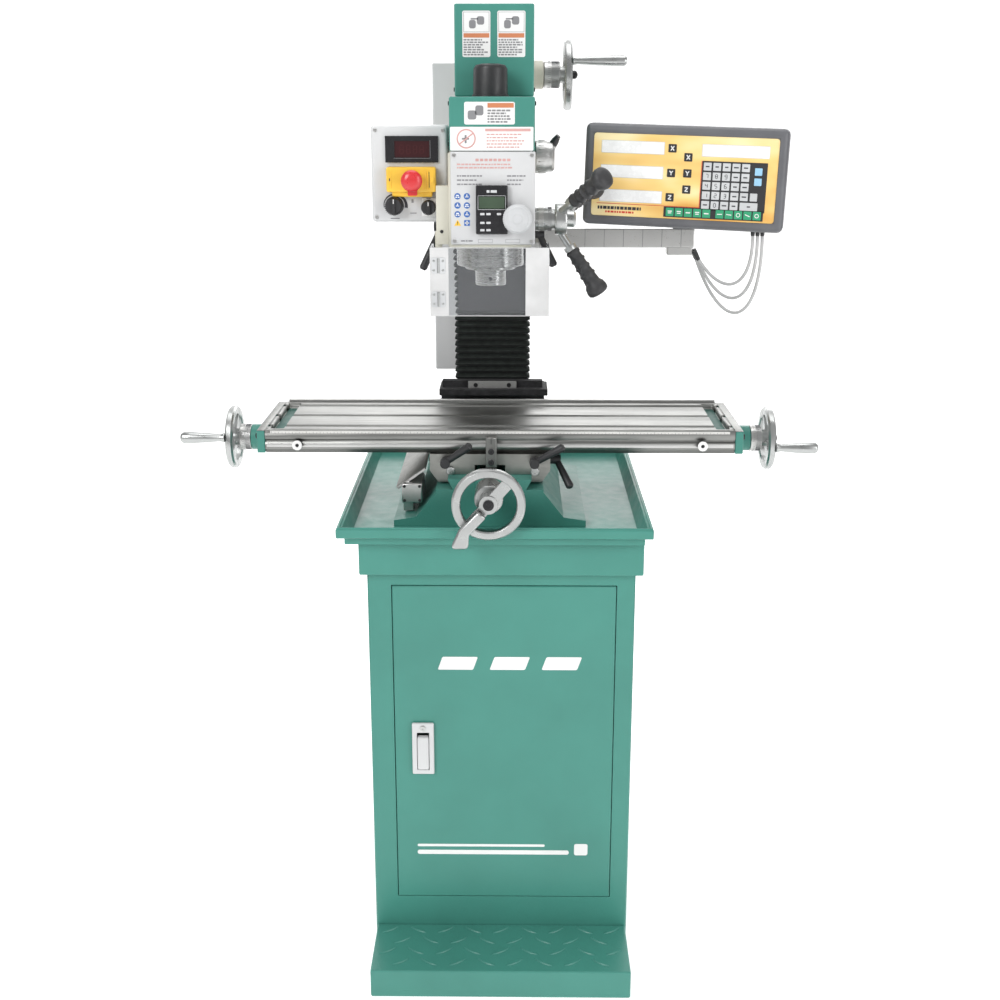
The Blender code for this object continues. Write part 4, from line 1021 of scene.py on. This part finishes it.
def make_downfeed_grips():
    """Black ribbed grips over the three lever ends, and the hub's graduated collar."""
    hub = box("downfeed_hub")[0].x
    gear_low, gear_high = box("gear_selector_knob")
    axis_y = (gear_low.y + gear_high.y) / 2
    bm = bmesh.new()
    for degrees in LEVER_ANGLES:
        angle = math.radians(degrees)
        start, end = [
            (x, axis_y - reach * math.cos(angle), HUB_HEIGHT + reach * math.sin(angle))
            for x, reach in ((84.0, 12.0), (147.0, LEVER_REACH))
        ]
        add_rod(bm, start, end, GRIP_PROFILE, 24)
    piece("downfeed_grips", bm, "rubber_grip", "downfeed", 60.0)
    bm = bmesh.new()
    end = hub + 29.5
    for k in range(60):
        turn = Matrix.Translation((0, axis_y, HUB_HEIGHT)) @ Matrix.Rotation(2 * math.pi * k / 60, 4, "X")
        add_box(bm, (end - (9 if k % 5 == 0 else 5.5), -0.2, 16.8), (end, 0.2, 17.25), 0.0, turn)
    piece("downfeed_dial_marks", bm, "ink_grey", "downfeed")
    collar = [(16.6, 10), (17.6, 10.4), (17.6, 18), (16.6, 18.4), (16.6, 10)]
    turned("downfeed_collar", "satin", "downfeed", "X", (hub, axis_y, HUB_HEIGHT), collar, 48)


make_downfeed_grips()


# ---------------------------------------------------------------- control box
SEGMENTS = {
    0: "abcdef", 1: "bc", 2: "abged", 3: "abgcd", 4: "fgbc",
    5: "afgcd", 6: "afgecd", 7: "abc", 8: "abcdefg", 9: "abcdfg",
}


def add_digit(bm, x, z, width, height, face, value, matrix=None):
    """Seven-segment numeral whose lower left corner is at (x, z)."""
    t = width * 0.2
    half = height / 2
    bars = {
        "a": (t, height - t, width - t, height),
        "b": (width - t, half, width, height - t),
        "c": (width - t, t, width, half),
        "d": (t, 0, width - t, t),
        "e": (0, t, t, half),
        "f": (0, half, t, height - t),
        "g": (t, half - t / 2, width - t, half + t / 2),
    }
    add_print(bm, around(x, z, *[(*bars[key], t * 0.3) for key in SEGMENTS[value]]), face, matrix)


def make_speed_window(low, high, front):
    """Black frame, dark red glass and four numerals that are off."""
    x0, z0, x1, z1 = (low.x + 20.5, high.z - 51.0, low.x + 95.0, high.z - 14.5)
    pane = (low.x + 33.4, high.z - 44.2, low.x + 82.6, high.z - 21.4)
    face = front - 2.5
    bands = (
        (x0, z0, x1, pane[1]),
        (x0, pane[3], x1, z1),
        (x0, pane[1], pane[0], pane[3]),
        (pane[2], pane[1], x1, pane[3]),
    )
    depth = (face - 0.4, face + 0.2)
    plates("speed_window_frame", "black_gloss", "head", [(band, depth, 0.3) for band in bands])
    plates("speed_window_glass", "red_glass", "head", [(pane, (front - 1.7, front - 1.2), 0.5)])
    bm = bmesh.new()
    for k in range(4):
        add_digit(bm, pane[0] + 7 + k * 9.4, pane[1] + 4.6, 6, 13, front - 1.7, 8)
    piece("speed_window_digits", bm, "red_off", "head")
    # painted highlight: a lighter line along only the lower and right edges of the window, where the frame's
    # inner edges catch the light
    x0, z0, x1, z1 = (pane[0] - 1.2, pane[1] - 1.2, pane[2] + 1.2, pane[3] + 1.2)
    line = [(x0, z0, x1, z0 + 0.45, 0.1), (x1 - 0.45, z0, x1, z1, 0.1)]
    printed("speed_window_painted_highlight", "ink_grey", "head", line, face - 0.4)


def make_speed_scale(x, z, front):
    """Printed arc round the speed knob, thicker toward the fast end."""
    inner = 14.6
    bm = bmesh.new()
    for k in range(32):
        ring = []
        for step, share in ((k, 0), (k + 1, 0), (k + 1, 1), (k, 1)):
            angle = math.radians(190 - 200 * step / 32)
            radius = inner + share * (0.8 + 3.4 * step / 31)
            ring.append((x + radius * math.cos(angle), z + radius * math.sin(angle)))
        skin(bm, [[bm.verts.new((u, y, v)) for u, v in ring] for y in (front - 0.3, front + 0.1)])
    piece("speed_scale", bm, "ink", "head")


def make_control_details():
    low, high = box("control_box")
    front = box("e_stop_housing")[1].y + 0.3
    places = [(x, front, z) for x in (low.x + 6.5, high.x - 6.5) for z in (low.z + 7, high.z - 7)]
    screws("control_screws", "satin", "head", "Y", places, 2.6, 1.3, -1)
    make_speed_window(low, high, front)
    k_low, k_high = box("speed_knob")
    x = (k_low.x + k_high.x) / 2
    z = (k_low.z + k_high.z) / 2
    make_speed_scale(x, z, front)
    bm = bmesh.new()
    place = Matrix.Translation((x, 0, z))
    add_knurl(bm, 28, (-0.5, k_low.y + 4.2, 11.9), (0.5, k_high.y - 1.5, 12.7), place, "Y")
    skirt = [(12.2, -0.1), (13.3, -0.1), (13.3, -1.4), (12.2, -1.6), (12.2, -0.1)]
    add_turned(bm, "Y", (x, k_high.y, z), skirt, 40)
    piece("speed_knob_ribs", bm, "black", "speed_dial")
    mark = (x - 0.5, z + 4, x + 0.5, z + 10.3)
    plates("speed_knob_mark", "white", "speed_dial", [(mark, (k_low.y - 0.2, k_low.y + 0.3), 0.3)])
    under_knob = around(x, z, (-6, -18.6, 7, -17.2, 0.4), (22, -11, 31, -9.8, 0.4), (24, 4, 27, 9, 0.4))
    # reversing switch: printed card and mark
    s_low, s_high = box("direction_switch")
    x = (s_low.x + s_high.x) / 2
    z = (s_low.z + s_high.z) / 2
    face = front - 1.5
    card = (x - 9.8, z - 12.8, x + 23.2, z + 13.2)
    plates("switch_card", "white", "head", [(card, (face, face + 0.4), 1.0)])
    bm = bmesh.new()
    spots = around(x, z, (13, 7.5, 19, 8.2, 0.1), (-3, 11.4, 3, 12.6, 0.3), (12.5, -2, 17, -0.8, 0.3))
    add_print(bm, spots, face)
    add_print(bm, under_knob, front)
    piece("control_print", bm, "ink_grey", "head")
    mark = (x - 0.5, z + 2.5, x + 0.5, z + 8.3)
    plates("direction_mark", "white", "switch", [(mark, (s_low.y - 0.2, s_low.y + 0.3), 0.3)])


def make_stop_switch():
    """Moulded ribs, catch slots and the red tongue of the emergency stop."""
    low, high = box("e_stop_housing")
    middle = (low.z + 6.6 + high.z) / 2
    back = low.y + 3.6
    ribs = []
    for x in (low.x + 3, low.x + 6.2):
        ribs.append(((x, middle - 12, x + 1.2, middle + 12), (low.y + 2.4, back), 0.4))
    for x in (high.x - 15, high.x - 11.6):
        ribs.append(((x, middle - 13, x + 1.5, middle + 13), (low.y + 1.6, back), 0.5))
    ribs.append(((high.x - 8, middle - 4, high.x - 3, middle + 4), (low.y + 1.4, back), 1.5))
    plates("e_stop_ribs", "yellow", "head", ribs, 0.25)
    plates("e_stop_slots", "ink", "head", [
        ((high.x - 9.9, middle - 11, high.x - 9.0, middle + 11), (low.y + 2.8, low.y + 3.2), 0.2),
        ((low.x + 4.4, middle - 2, low.x + 5.6, middle + 2), (low.y + 2.6, low.y + 3.2), 0.3),
    ])
    b_low, b_high = box("e_stop_button")
    x = (b_low.x + b_high.x) / 2
    z = (b_low.z + b_high.z) / 2
    tongue = (x - 6.5, z - 21, x + 7, z - 10)
    plates("e_stop_tongue", "red", "head", [(tongue, (low.y + 0.2, low.y + 3.2), 1.6)], 0.4)
    ring = [(4, 0.6), (6.4, 0.9), (6.8, 0.35), (4.2, 0.0), (4, 0.6)]
    turned("e_stop_ring", "red", "stop_button", "Y", (x, b_low.y, z), ring, 32)


make_control_details()
make_stop_switch()


# ---------------------------------------------------------------- spindle guard
def make_guard_wing(low, high, wing_x):
    """Bent right wing: a shallow wave of milky sheet, lapped on the flat front; its grey tone is partly
    painted shade of the clear bent sheet.
    """
    steps = 24
    bm = bmesh.new()
    rows = []
    for k in range(steps + 1):
        share = k / steps
        x = wing_x + share * (high.x - 0.4 - wing_x)
        wave = 1.1 * math.sin(3.0 * math.pi * share) * share
        y = low.y - 0.7 + wave * 0.3 - 0.5 * math.sin(math.pi * share)
        rows.append([bm.verts.new((x, y, z)) for z in (low.z + 0.4, (low.z + high.z) / 2, high.z - 0.4)])
    for near, far in zip(rows, rows[1:]):
        for k in range(2):
            bm.faces.new((near[k], far[k], far[k + 1], near[k + 1]))
    bmesh.ops.solidify(bm, geom=bm.faces[:], thickness=0.4)
    piece("guard_wing", bm, "frosted_with_painted_shade", "guard", 60.0)


def make_guard_details():
    low, high = box("chuck_guard")
    front = low.y
    leaf_x = low.x + 26
    wing_x = high.x - 33
    strip = (low.x + 0.2, low.z + 0.2, leaf_x, high.z - 0.2)
    plates("guard_edge_strip", "frosted_with_painted_shade", "guard", [(strip, (front - 0.5, front - 0.02), 1.0)])
    make_guard_wing(low, high, wing_x)
    leaves = []
    pins = bmesh.new()
    for z in (low.z + 13, low.z + 60):
        for x in (low.x + 2.4, low.x + 12.4):
            leaves.append(((x, z, x + 9.0, z + 22), (front - 1.5, front - 0.4), 2.0))
        x = low.x + 11.9
        add_rod(pins, (x, front - 1.6, z + 1), (x, front - 1.6, z + 21), straight(1.7), 14)
        for x in (low.x + 5.6, low.x + 18.2):
            for up in (4.5, 17.5):
                add_screw(pins, "Y", (x, front - 1.5, z + up), 1.7, 0.7, -1)
    plates("guard_hinge_leaves", "pale", "guard", leaves, 0.2)
    piece("guard_hinge_pins", pins, "chrome", "guard")
    depth = (front - 0.35, front - 0.02)
    edges = [((leaf_x, z, wing_x, z + 1.0), depth, 0.4) for z in (low.z + 0.1, high.z - 1.1)]
    plates("guard_bright_edges", "frosted_with_painted_shade", "guard", edges)


def make_curtain():
    """Flat rubber sheet that hangs under the slide, in front of the bellows."""
    low, high = box("column_bellows")
    sheet = (low.x + 5.5, high.z - 114, high.x - 7.5, high.z - 1)
    curtain = plates("slide_curtain", "slate", None, [(sheet, (low.y - 0.35, low.y - 0.05), 0.5)])
    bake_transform(curtain)


make_guard_details()
make_curtain()


# ---------------------------------------------------------------- digital readout
READOUT_PLACE = (288.0, 149.0, 1147.0)
READOUT_YAW = -13.0
READOUT_SHIFT = (4.0, -53.5, 0.0)
READOUT_LEAN = 1.7
PANEL_HALF_X = 137.6
PANEL_HALF_Z = 61.6
PANEL_FACE = -18.9
READOUT = (
    Matrix.Translation(READOUT_PLACE) @ Matrix.Rotation(math.radians(READOUT_YAW), 4, "Z")
    @ Matrix.Translation(READOUT_SHIFT) @ Matrix.Rotation(math.radians(READOUT_LEAN), 4, "Y")
)


def panel_x(share):
    """Place across the panel, from 0 at its left edge to 1 at its right."""
    return -PANEL_HALF_X + 2 * PANEL_HALF_X * share


def panel_z(share):
    """Place down the panel, from 0 at its top edge to 1 at its foot."""
    return PANEL_HALF_Z - 2 * PANEL_HALF_Z * share


def spot(u, v, width, height, corner):
    """Patch centred at shares u across and v down the panel."""
    x = panel_x(u)
    z = panel_z(v)
    return (x - width / 2, z - height / 2, x + width / 2, z + height / 2, corner)


def key(u, v, width, height, corner, face, rise=0.6):
    """A raised key for plates(), and the place of its middle."""
    x0, z0, x1, z1, corner = spot(u, v, width, height, corner)
    return ((x0, z0, x1, z1), (face - rise, face + 0.1), corner), (x0 + x1) / 2, (z0 + z1) / 2


def add_axis_letter(bm, x, z, face, letter):
    """X, Y or Z made of bars, about 6 mm tall."""
    bar = 0.75
    strokes = {
        "X": ((-2.4, -3.2, 2.4, 3.2), (-2.4, 3.2, 2.4, -3.2)),
        "Y": ((-2.4, 3.2, 0, 0), (2.4, 3.2, 0, 0), (0, 0, 0, -3.2)),
        "Z": ((-2.4, 2.7, 2.4, 2.7), (2.2, 2.7, -2.2, -2.7), (-2.4, -2.7, 2.4, -2.7)),
    }
    for x0, z0, x1, z1 in strokes[letter]:
        length = math.hypot(x1 - x0, z1 - z0)
        middle = Matrix.Translation((x + (x0 + x1) / 2, 0, z + (z0 + z1) / 2))
        turn = READOUT @ middle @ Matrix.Rotation(-math.atan2(z1 - z0, x1 - x0), 4, "Y")
        add_plate(bm, (-length / 2, -bar, length / 2, bar), (face - 0.2, face + 0.1), 0.2, "Y", turn)


def add_function_mark(bm, x, z, face, kind):
    """Small white sign on a green key: a bar, a pair of bars, a slanted stroke or a ring."""
    if kind in (0, 1, 3):
        add_print(bm, around(x, z, (-3.2, 0.4, 3.2, 2, 0.3), (-2.6, -2.2, 2.6, -0.8, 0.3)), face, READOUT)
    elif kind in (2, 4):
        add_print(bm, around(x, z, (-3.4, -0.9, 3.4, 0.9, 0.3)), face, READOUT)
    elif kind in (5, 6, 8):
        lean = Matrix.Rotation(math.radians(-42 + 8 * kind), 4, "Y")
        add_print(bm, [(-3.8, -0.6, 3.8, 0.6, 0.2)], face, READOUT @ Matrix.Translation((x, 0, z)) @ lean)
    else:
        place = READOUT @ Matrix.Translation((x, face, z))
        add_turned(bm, "Y", (0, 0, 0), washer(2.2, 3.2, 0.1, -0.2), 24, place)


def make_readout_panel():
    """Amber panel with its red rules, small print and four windows."""
    panel = (-PANEL_HALF_X, -PANEL_HALF_Z, PANEL_HALF_X, PANEL_HALF_Z)
    sheet = (panel, (PANEL_FACE, PANEL_FACE + 0.6), 4.5)
    plates("readout_panel", "amber", "readout", [sheet], matrix=READOUT)
    right = panel_x(0.597)
    lines = [
        (-PANEL_HALF_X + 8, panel_z(0.853), right, panel_z(0.846), 0.1),
        (right - 1, panel_z(0.85), right, panel_z(0.29), 0.1),
    ]
    left = -PANEL_HALF_X
    lines += text_lines(left + 22, panel_z(0.965), left + 84, panel_z(0.935), 1, 31, 0.8)
    printed("readout_red_lines", "ink_red", "readout", lines, PANEL_FACE, READOUT)
    words = text_lines(left + 10, panel_z(0.925), left + 104, panel_z(0.878), 1, 32, 0.8)
    printed("readout_dark_words", "ink", "readout", words, PANEL_FACE, READOUT)
    windows = [(0.216, v, 94, 17.5) for v in (0.160, 0.455, 0.750)]
    windows.append((0.772, 0.165, 98, 17.0))
    edges = [spot(u, v, w + 1.2, h + 1.2, 0.8) for u, v, w, h in windows]
    printed("readout_window_edges", "pale", "readout", edges, PANEL_FACE, READOUT)
    panes = [spot(u, v, w, h, 0.6) for u, v, w, h in windows]
    printed("readout_windows", "window_white", "readout", panes, PANEL_FACE - PRINT_LIFT, READOUT)


def make_axis_keys():
    keys = []
    marks = bmesh.new()
    for u, drops in ((0.432, (0.155, 0.450, 0.742)), (0.520, (0.255, 0.447, 0.640))):
        for v, letter in zip(drops, "XYZ"):
            made, x, z = key(u, v, 12.2, 12.2, 1.0, PANEL_FACE, 0.7)
            keys.append(made)
            add_axis_letter(marks, x, z, PANEL_FACE - 0.7, letter)
    plates("readout_axis_keys", "black", "readout", keys, 0.2, READOUT)
    piece("readout_axis_marks", marks, "white", "readout")


def make_number_pad():
    """Number pad and function row on black ground."""
    ground = [spot(0.772, 0.585, 96, 73, 1.0), spot(0.672, 0.918, 148, 15.6, 0.8)]
    printed("readout_pad_ground", "black", "readout", ground, PANEL_FACE, READOUT)
    face = PANEL_FACE - PRINT_LIFT
    left, top = 0.627, 0.355
    pitch_u, pitch_v = 0.0512, 0.1145
    digits = {(4, 1): 0}
    for value in range(1, 10):
        digits[(3 - (value - 1) // 3, (value - 1) % 3)] = value
    dice = random.Random(41)
    keys = []
    marks = bmesh.new()
    for row in range(5):
        for column in range(5):
            wide_key = row == 4 and column == 4
            u = left + pitch_u * (column + (0.55 if wide_key else 0.0))
            made, x, z = key(u, top + pitch_v * row, 26 if wide_key else 11.6, 11.6, 0.8, face)
            keys.append(made)
            if (row, column) in digits:
                add_digit(marks, x - 2, z - 3.4, 4, 6.8, face - 0.6, digits[(row, column)], READOUT)
            else:
                wide = dice.uniform(2.2, 3.6)
                add_print(marks, around(x, z, (-wide, -0.9, wide, 0.9, 0.3)), face - 0.6, READOUT)
    keys.append(key(left + pitch_u * 5, top + pitch_v * 3, 10.6, 11.6, 0.8, face)[0])
    plates("readout_number_keys", "pale", "readout", keys, 0.2, READOUT)
    piece("readout_number_marks", marks, "ink", "readout")
    keys = [key(0.9, v, 10.8, 10.8, 0.8, face)[0] for v in (0.395, 0.515)]
    plates("readout_blue_keys", "key_blue", "readout", keys, 0.2, READOUT)
    keys = []
    marks = bmesh.new()
    for k in range(10):
        gap = 0.022 if k >= 5 else 0.0
        made, x, z = key(0.4375 + 0.0498 * k + gap, 0.918, 11.8, 12.4, 0.6, face)
        keys.append(made)
        add_function_mark(marks, x, z, face - 0.6, k)
    plates("readout_green_keys", "key_green", "readout", keys, 0.2, READOUT)
    piece("readout_green_marks", marks, "white", "readout")


def make_readout_back():
    """Screws and vents on the display's back."""
    back = 20.0
    bm = bmesh.new()
    head = [(0, -0.2), (3, -0.2), (3, 0.8), (2.2, 1.3), (0, 1.3)]
    for x in (-138, 138):
        for z in (-62, 62):
            add_turned(bm, "Y", (x, back, z), head, 20, READOUT)
    piece("readout_back_screws", bm, "satin", "readout")
    vents = []
    for k in range(9):
        for side in (-1, 1):
            x = side * (70 + k * 5.5)
            vents.append(((x - 1, 10, x + 1, 45), (back - 0.1, back + 0.25), 0.9))
    plates("readout_back_vents", "black", "readout", vents, matrix=READOUT)


make_readout_panel()
make_axis_keys()
make_number_pad()
make_readout_back()


# ---------------------------------------------------------------- readout cables
CABLE_DIAMETER = 4.8
CABLES = (
    ((384.0, 80.0, 1066.2), (305.0, 143.5, 1030.0), 96.0),
    ((391.0, 78.5, 1066.2), (305.0, 149.5, 1031.0), 130.0),
    ((398.0, 77.0, 1066.2), (305.0, 155.5, 1032.0), 166.0),
)
GLAND_PROFILE = ((2.45, -6), (2.9, -6), (3.3, -2), (3.4, 0), (3.4, 3.2), (2.45, 3.2), (2.45, -6))
BOOT_PROFILE = ((0, 2.45), (0, 3.0), (0.6, 4.0), (1, 4.4), (1, 2.45), (0, 2.45))


def cable_route(start, end, drop):
    """Points down from the display in one sagging curve and back to the arm's end."""
    a = Vector(start)
    d = Vector(end)
    b = a + Vector((6.0, 2.0, -drop))
    c = d + Vector((42.0, -8.0, -0.8 * drop))
    points = []
    for k in range(33):
        t = k / 32
        u = 1 - t
        points.append(a * u**3 + b * (3 * u * u * t) + c * (3 * u * t * t) + d * t**3)
    return points


def cable_tube(name, path):
    """Round tube along a path in metres, as a mesh."""
    data = bpy.data.curves.new(name, "CURVE")
    data.dimensions = "3D"
    data.bevel_depth = CABLE_DIAMETER * MM / 2
    data.bevel_resolution = 4
    data.use_fill_caps = True
    spline = data.splines.new("POLY")
    spline.points.add(len(path) - 1)
    for target, point in zip(spline.points, path):
        target.co = (*point, 1.0)
    spline.use_smooth = True
    data.materials.append(LOOKS["lead"])
    guide = bpy.data.objects.new(name + "_guide", data)
    PIECES.objects.link(guide)
    graph = bpy.context.evaluated_depsgraph_get()
    mesh = bpy.data.meshes.new_from_object(guide.evaluated_get(graph))
    bpy.data.objects.remove(guide, do_unlink=True)
    mesh.shade_smooth()
    tube = bpy.data.objects.new(name, mesh)
    PIECES.objects.link(tube)
    return tube


def make_cables():
    for number, (start, end, drop) in enumerate(CABLES, 1):
        points = cable_route(start, end, drop)
        path = [metres(*point) for point in points]
        cable = cable_tube(f"readout_cable_{number}", path)
        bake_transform(cable)
        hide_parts(f"dro_cable_{number}")
        turned(f"readout_gland_{number}", "black", "readout", "Z", start, GLAND_PROFILE, 20)
        way = (points[-1] - points[-2]).normalized()
        bm = bmesh.new()
        add_rod(bm, points[-1] - way * 16, points[-1], BOOT_PROFILE, 18)
        boot = piece(f"readout_boot_{number}", bm, "black", "readout_arm")


make_cables()


# ---------------------------------------------------------------- bellows
def make_bellows():
    """Pleated cover with rounded folds, fixed to the base below and to the head's slide above."""
    low, high = box("column_bellows")
    pleats = 22
    steps = 8 * pleats
    bm = bmesh.new()
    rings = []
    for k in range(steps + 1):
        fold = (0.5 + 0.5 * math.cos(2 * math.pi * k / 8)) ** 0.7
        left = low.x + 6 * (1 - fold)
        right = high.x - 6 * (1 - fold)
        front = low.y + 8 * (1 - fold)
        z = low.z + (high.z - low.z) * k / steps
        across = [(x, front) for x in (left, left + 3, right - 3, right)]
        corners = [(left, high.y), *across, (right, high.y)]
        rings.append([bm.verts.new((x, y, z)) for x, y in corners])
    skin(bm, rings)
    bellows = piece("bellows", bm, "cloth", None, 50.0)
    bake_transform(bellows)
    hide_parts("column_bellows")


make_bellows()


# ---------------------------------------------------------------- rear and sides
def make_column_back():
    low, high = box("column")
    back = high.y
    middle = (low.x + high.x) / 2
    plate = (middle - 38, high.z - 420, middle + 38, high.z - 90)
    plates("column_back_plate", "cream", "frame", [(plate, (back - 0.3, back + 1.4), 6)], 0.4)
    places = []
    for x in (plate[0] + 8, plate[2] - 8):
        for z in (plate[1] + 8, (plate[1] + plate[3]) / 2, plate[3] - 8):
            places.append((x, back + 1.4, z))
    screws("column_back_screws", "dark_iron", "frame", "Y", places, 4.0, 2.6, 1)


def make_cabinet_back():
    """Rear panel with louvres, and a folded seam with rivets down both sides of the cabinet."""
    low, high = box("stand_cabinet")
    back = high.y
    panel = (low.x + 45, low.z + 110, high.x - 45, high.z - 60)
    plates("cabinet_back_panel", "green", "frame", [(panel, (back - 0.3, back + 1.6), 8)], 0.4)
    places = []
    for x in (panel[0] + 10, panel[2] - 10):
        for k in range(4):
            places.append((x, back + 1.6, panel[1] + 12 + (panel[3] - panel[1] - 24) * k / 3))
    screws("cabinet_back_screws", "dark_iron", "frame", "Y", places, 4.4, 2.6, 1)
    centre = (panel[0] + panel[2]) / 2
    slots = []
    for k in range(10):
        z = panel[3] - 60 - k * 14
        slots.append(((centre - 60, z, centre + 60, z + 4), (back + 1.2, back + 2.0), 1.9))
    plates("cabinet_louvres", "black", "frame", slots)
    seams = bmesh.new()
    rivets = bmesh.new()
    y = back - 24
    for side, x in ((-1, low.x), (1, high.x)):
        inner, outer = sorted((x - side * 0.3, x + side * 0.8))
        add_box(seams, (inner, y - 9, low.z + 6), (outer, y + 9, high.z - 8), 0.3)
        dome = [(0, -0.3), (3, -0.3), (2.6, 0.9), (1.4, 1.4), (0, 1.5)]
        for k in range(9):
            z = low.z + 36 + (high.z - low.z - 72) * k / 8
            add_turned(rivets, "X", (x + side * 0.8, y, z), [(r, side * d) for r, d in dome], 16)
    piece("cabinet_side_seams", seams, "green", "frame")
    piece("cabinet_side_rivets", rivets, "green", "frame")


def make_head_sides():
    """Screws of the head's covers and the louvres of the motor cover."""
    low, high = box("head_top_cover")
    bm = bmesh.new()
    add_side_screws(bm, low, high, (low.y + 14, high.y - 14), (low.z + 9, high.z - 9), 3, 1.8)
    low, high = box("motor_cover")
    add_side_screws(bm, low, high, (low.y + 12, high.y - 12), (low.z + 10,), 3, 1.8)
    piece("head_side_screws", bm, "dark_iron", "head")
    x = (low.x + high.x) / 2
    y = (low.y + high.y) / 2 + 10
    bm = bmesh.new()
    for k in range(7):
        z = high.z - 30 - k * 9
        add_plate(bm, (x - 24, z, x + 24, z + 3), (high.y - 0.2, high.y + 0.3), 1.4)
        for side, wall in ((-1, low.x), (1, high.x)):
            inner, outer = sorted((wall - side * 0.2, wall + side * 0.3))
            add_box(bm, (inner, y - 20, z), (outer, y + 20, z + 3), 0.1)
    piece("motor_cover_louvres", bm, "black", "head")


make_column_back()
make_cabinet_back()
make_head_sides()


# ---------------------------------------------------------------- camera, floor and light
CAMERA_X = 0.0200
CAMERA_Y = -1.849
CAMERA_Z = 1.2538
CAMERA_DOWN = 14.344
CAMERA_LEFT = 0.575
LENS = 45.388
SHIFT_Y = -0.0734


def area_light(name, place, target, size, power):
    data = bpy.data.lights.new(name, "AREA")
    data.shape = "RECTANGLE"
    data.size = size[0]
    data.size_y = size[1]
    data.energy = power
    lamp = bpy.data.objects.new(name, data)
    bpy.context.scene.collection.objects.link(lamp)
    lamp.location = place
    lamp.rotation_euler = (Vector(target) - Vector(place)).to_track_quat("-Z", "Y").to_euler()


def make_studio():
    data = bpy.data.cameras.new("camera")
    data.lens = LENS
    data.sensor_width = 36.0
    data.shift_y = SHIFT_Y
    data.clip_start = 0.05
    data.clip_end = 60.0
    camera = bpy.data.objects.new("camera", data)
    bpy.context.scene.collection.objects.link(camera)
    camera.location = (CAMERA_X, CAMERA_Y, CAMERA_Z)
    camera.rotation_euler = (math.radians(90.0 - CAMERA_DOWN), 0.0, math.radians(CAMERA_LEFT))
    bpy.context.scene.camera = camera
    # one white sheet: floor in front, a wide curve behind, then a wall
    bm = bmesh.new()
    section = [(-8.0, 0.0), (2.0, 0.0)]
    for k in range(1, 13):
        angle = math.radians(90.0 * k / 12)
        section.append((2.0 + 2.5 * math.sin(angle), 2.5 - 2.5 * math.cos(angle)))
    section.append((4.5, 9.0))
    rows = [[bm.verts.new((x, y, z)) for y, z in section] for x in (-9.0, 9.0)]
    for i in range(len(section) - 1):
        bm.faces.new((rows[0][i], rows[1][i], rows[1][i + 1], rows[0][i + 1]))
    for face in bm.faces:
        face.smooth = True
    mesh = bpy.data.meshes.new("floor")
    bm.to_mesh(mesh)
    bm.free()
    floor = bpy.data.objects.new("floor", mesh)
    bpy.context.scene.collection.objects.link(floor)
    made, tree, shader = material("studio_floor")
    tone = ramp(tree, noise(tree, 1.5), ((0.3, (0.84, 0.84, 0.84)), (0.7, (0.88, 0.88, 0.88))))
    tree.links.new(tone, shader.inputs["Base Color"])
    tree.links.new(tone, shader.inputs["Emission Color"])
    shader.inputs["Emission Strength"].default_value = 0.62
    shader.inputs["Roughness"].default_value = 0.6
    mesh.materials.append(made)
    world = bpy.data.worlds.new("studio")
    world.use_nodes = True
    background = world.node_tree.nodes["Background"]
    background.inputs["Color"].default_value = (1.0, 1.0, 1.0, 1.0)
    background.inputs["Strength"].default_value = 0.42
    bpy.context.scene.world = world
    bpy.context.scene.view_settings.view_transform = "Standard"
    area_light("key", (-1.9, -2.4, 2.6), (0, 0, 0.9), (1.3, 1.8), 62.0)
    area_light("fill", (2.4, -2.0, 1.5), (0, 0, 0.8), (1.2, 2.2), 34.0)
    area_light("top", (0.0, 0.2, 3.2), (0, 0, 1.0), (2.2, 1.5), 30.0)
    area_light("back", (0.3, 2.8, 2.2), (0, 0, 0.9), (2.4, 1.4), 24.0)


make_studio()
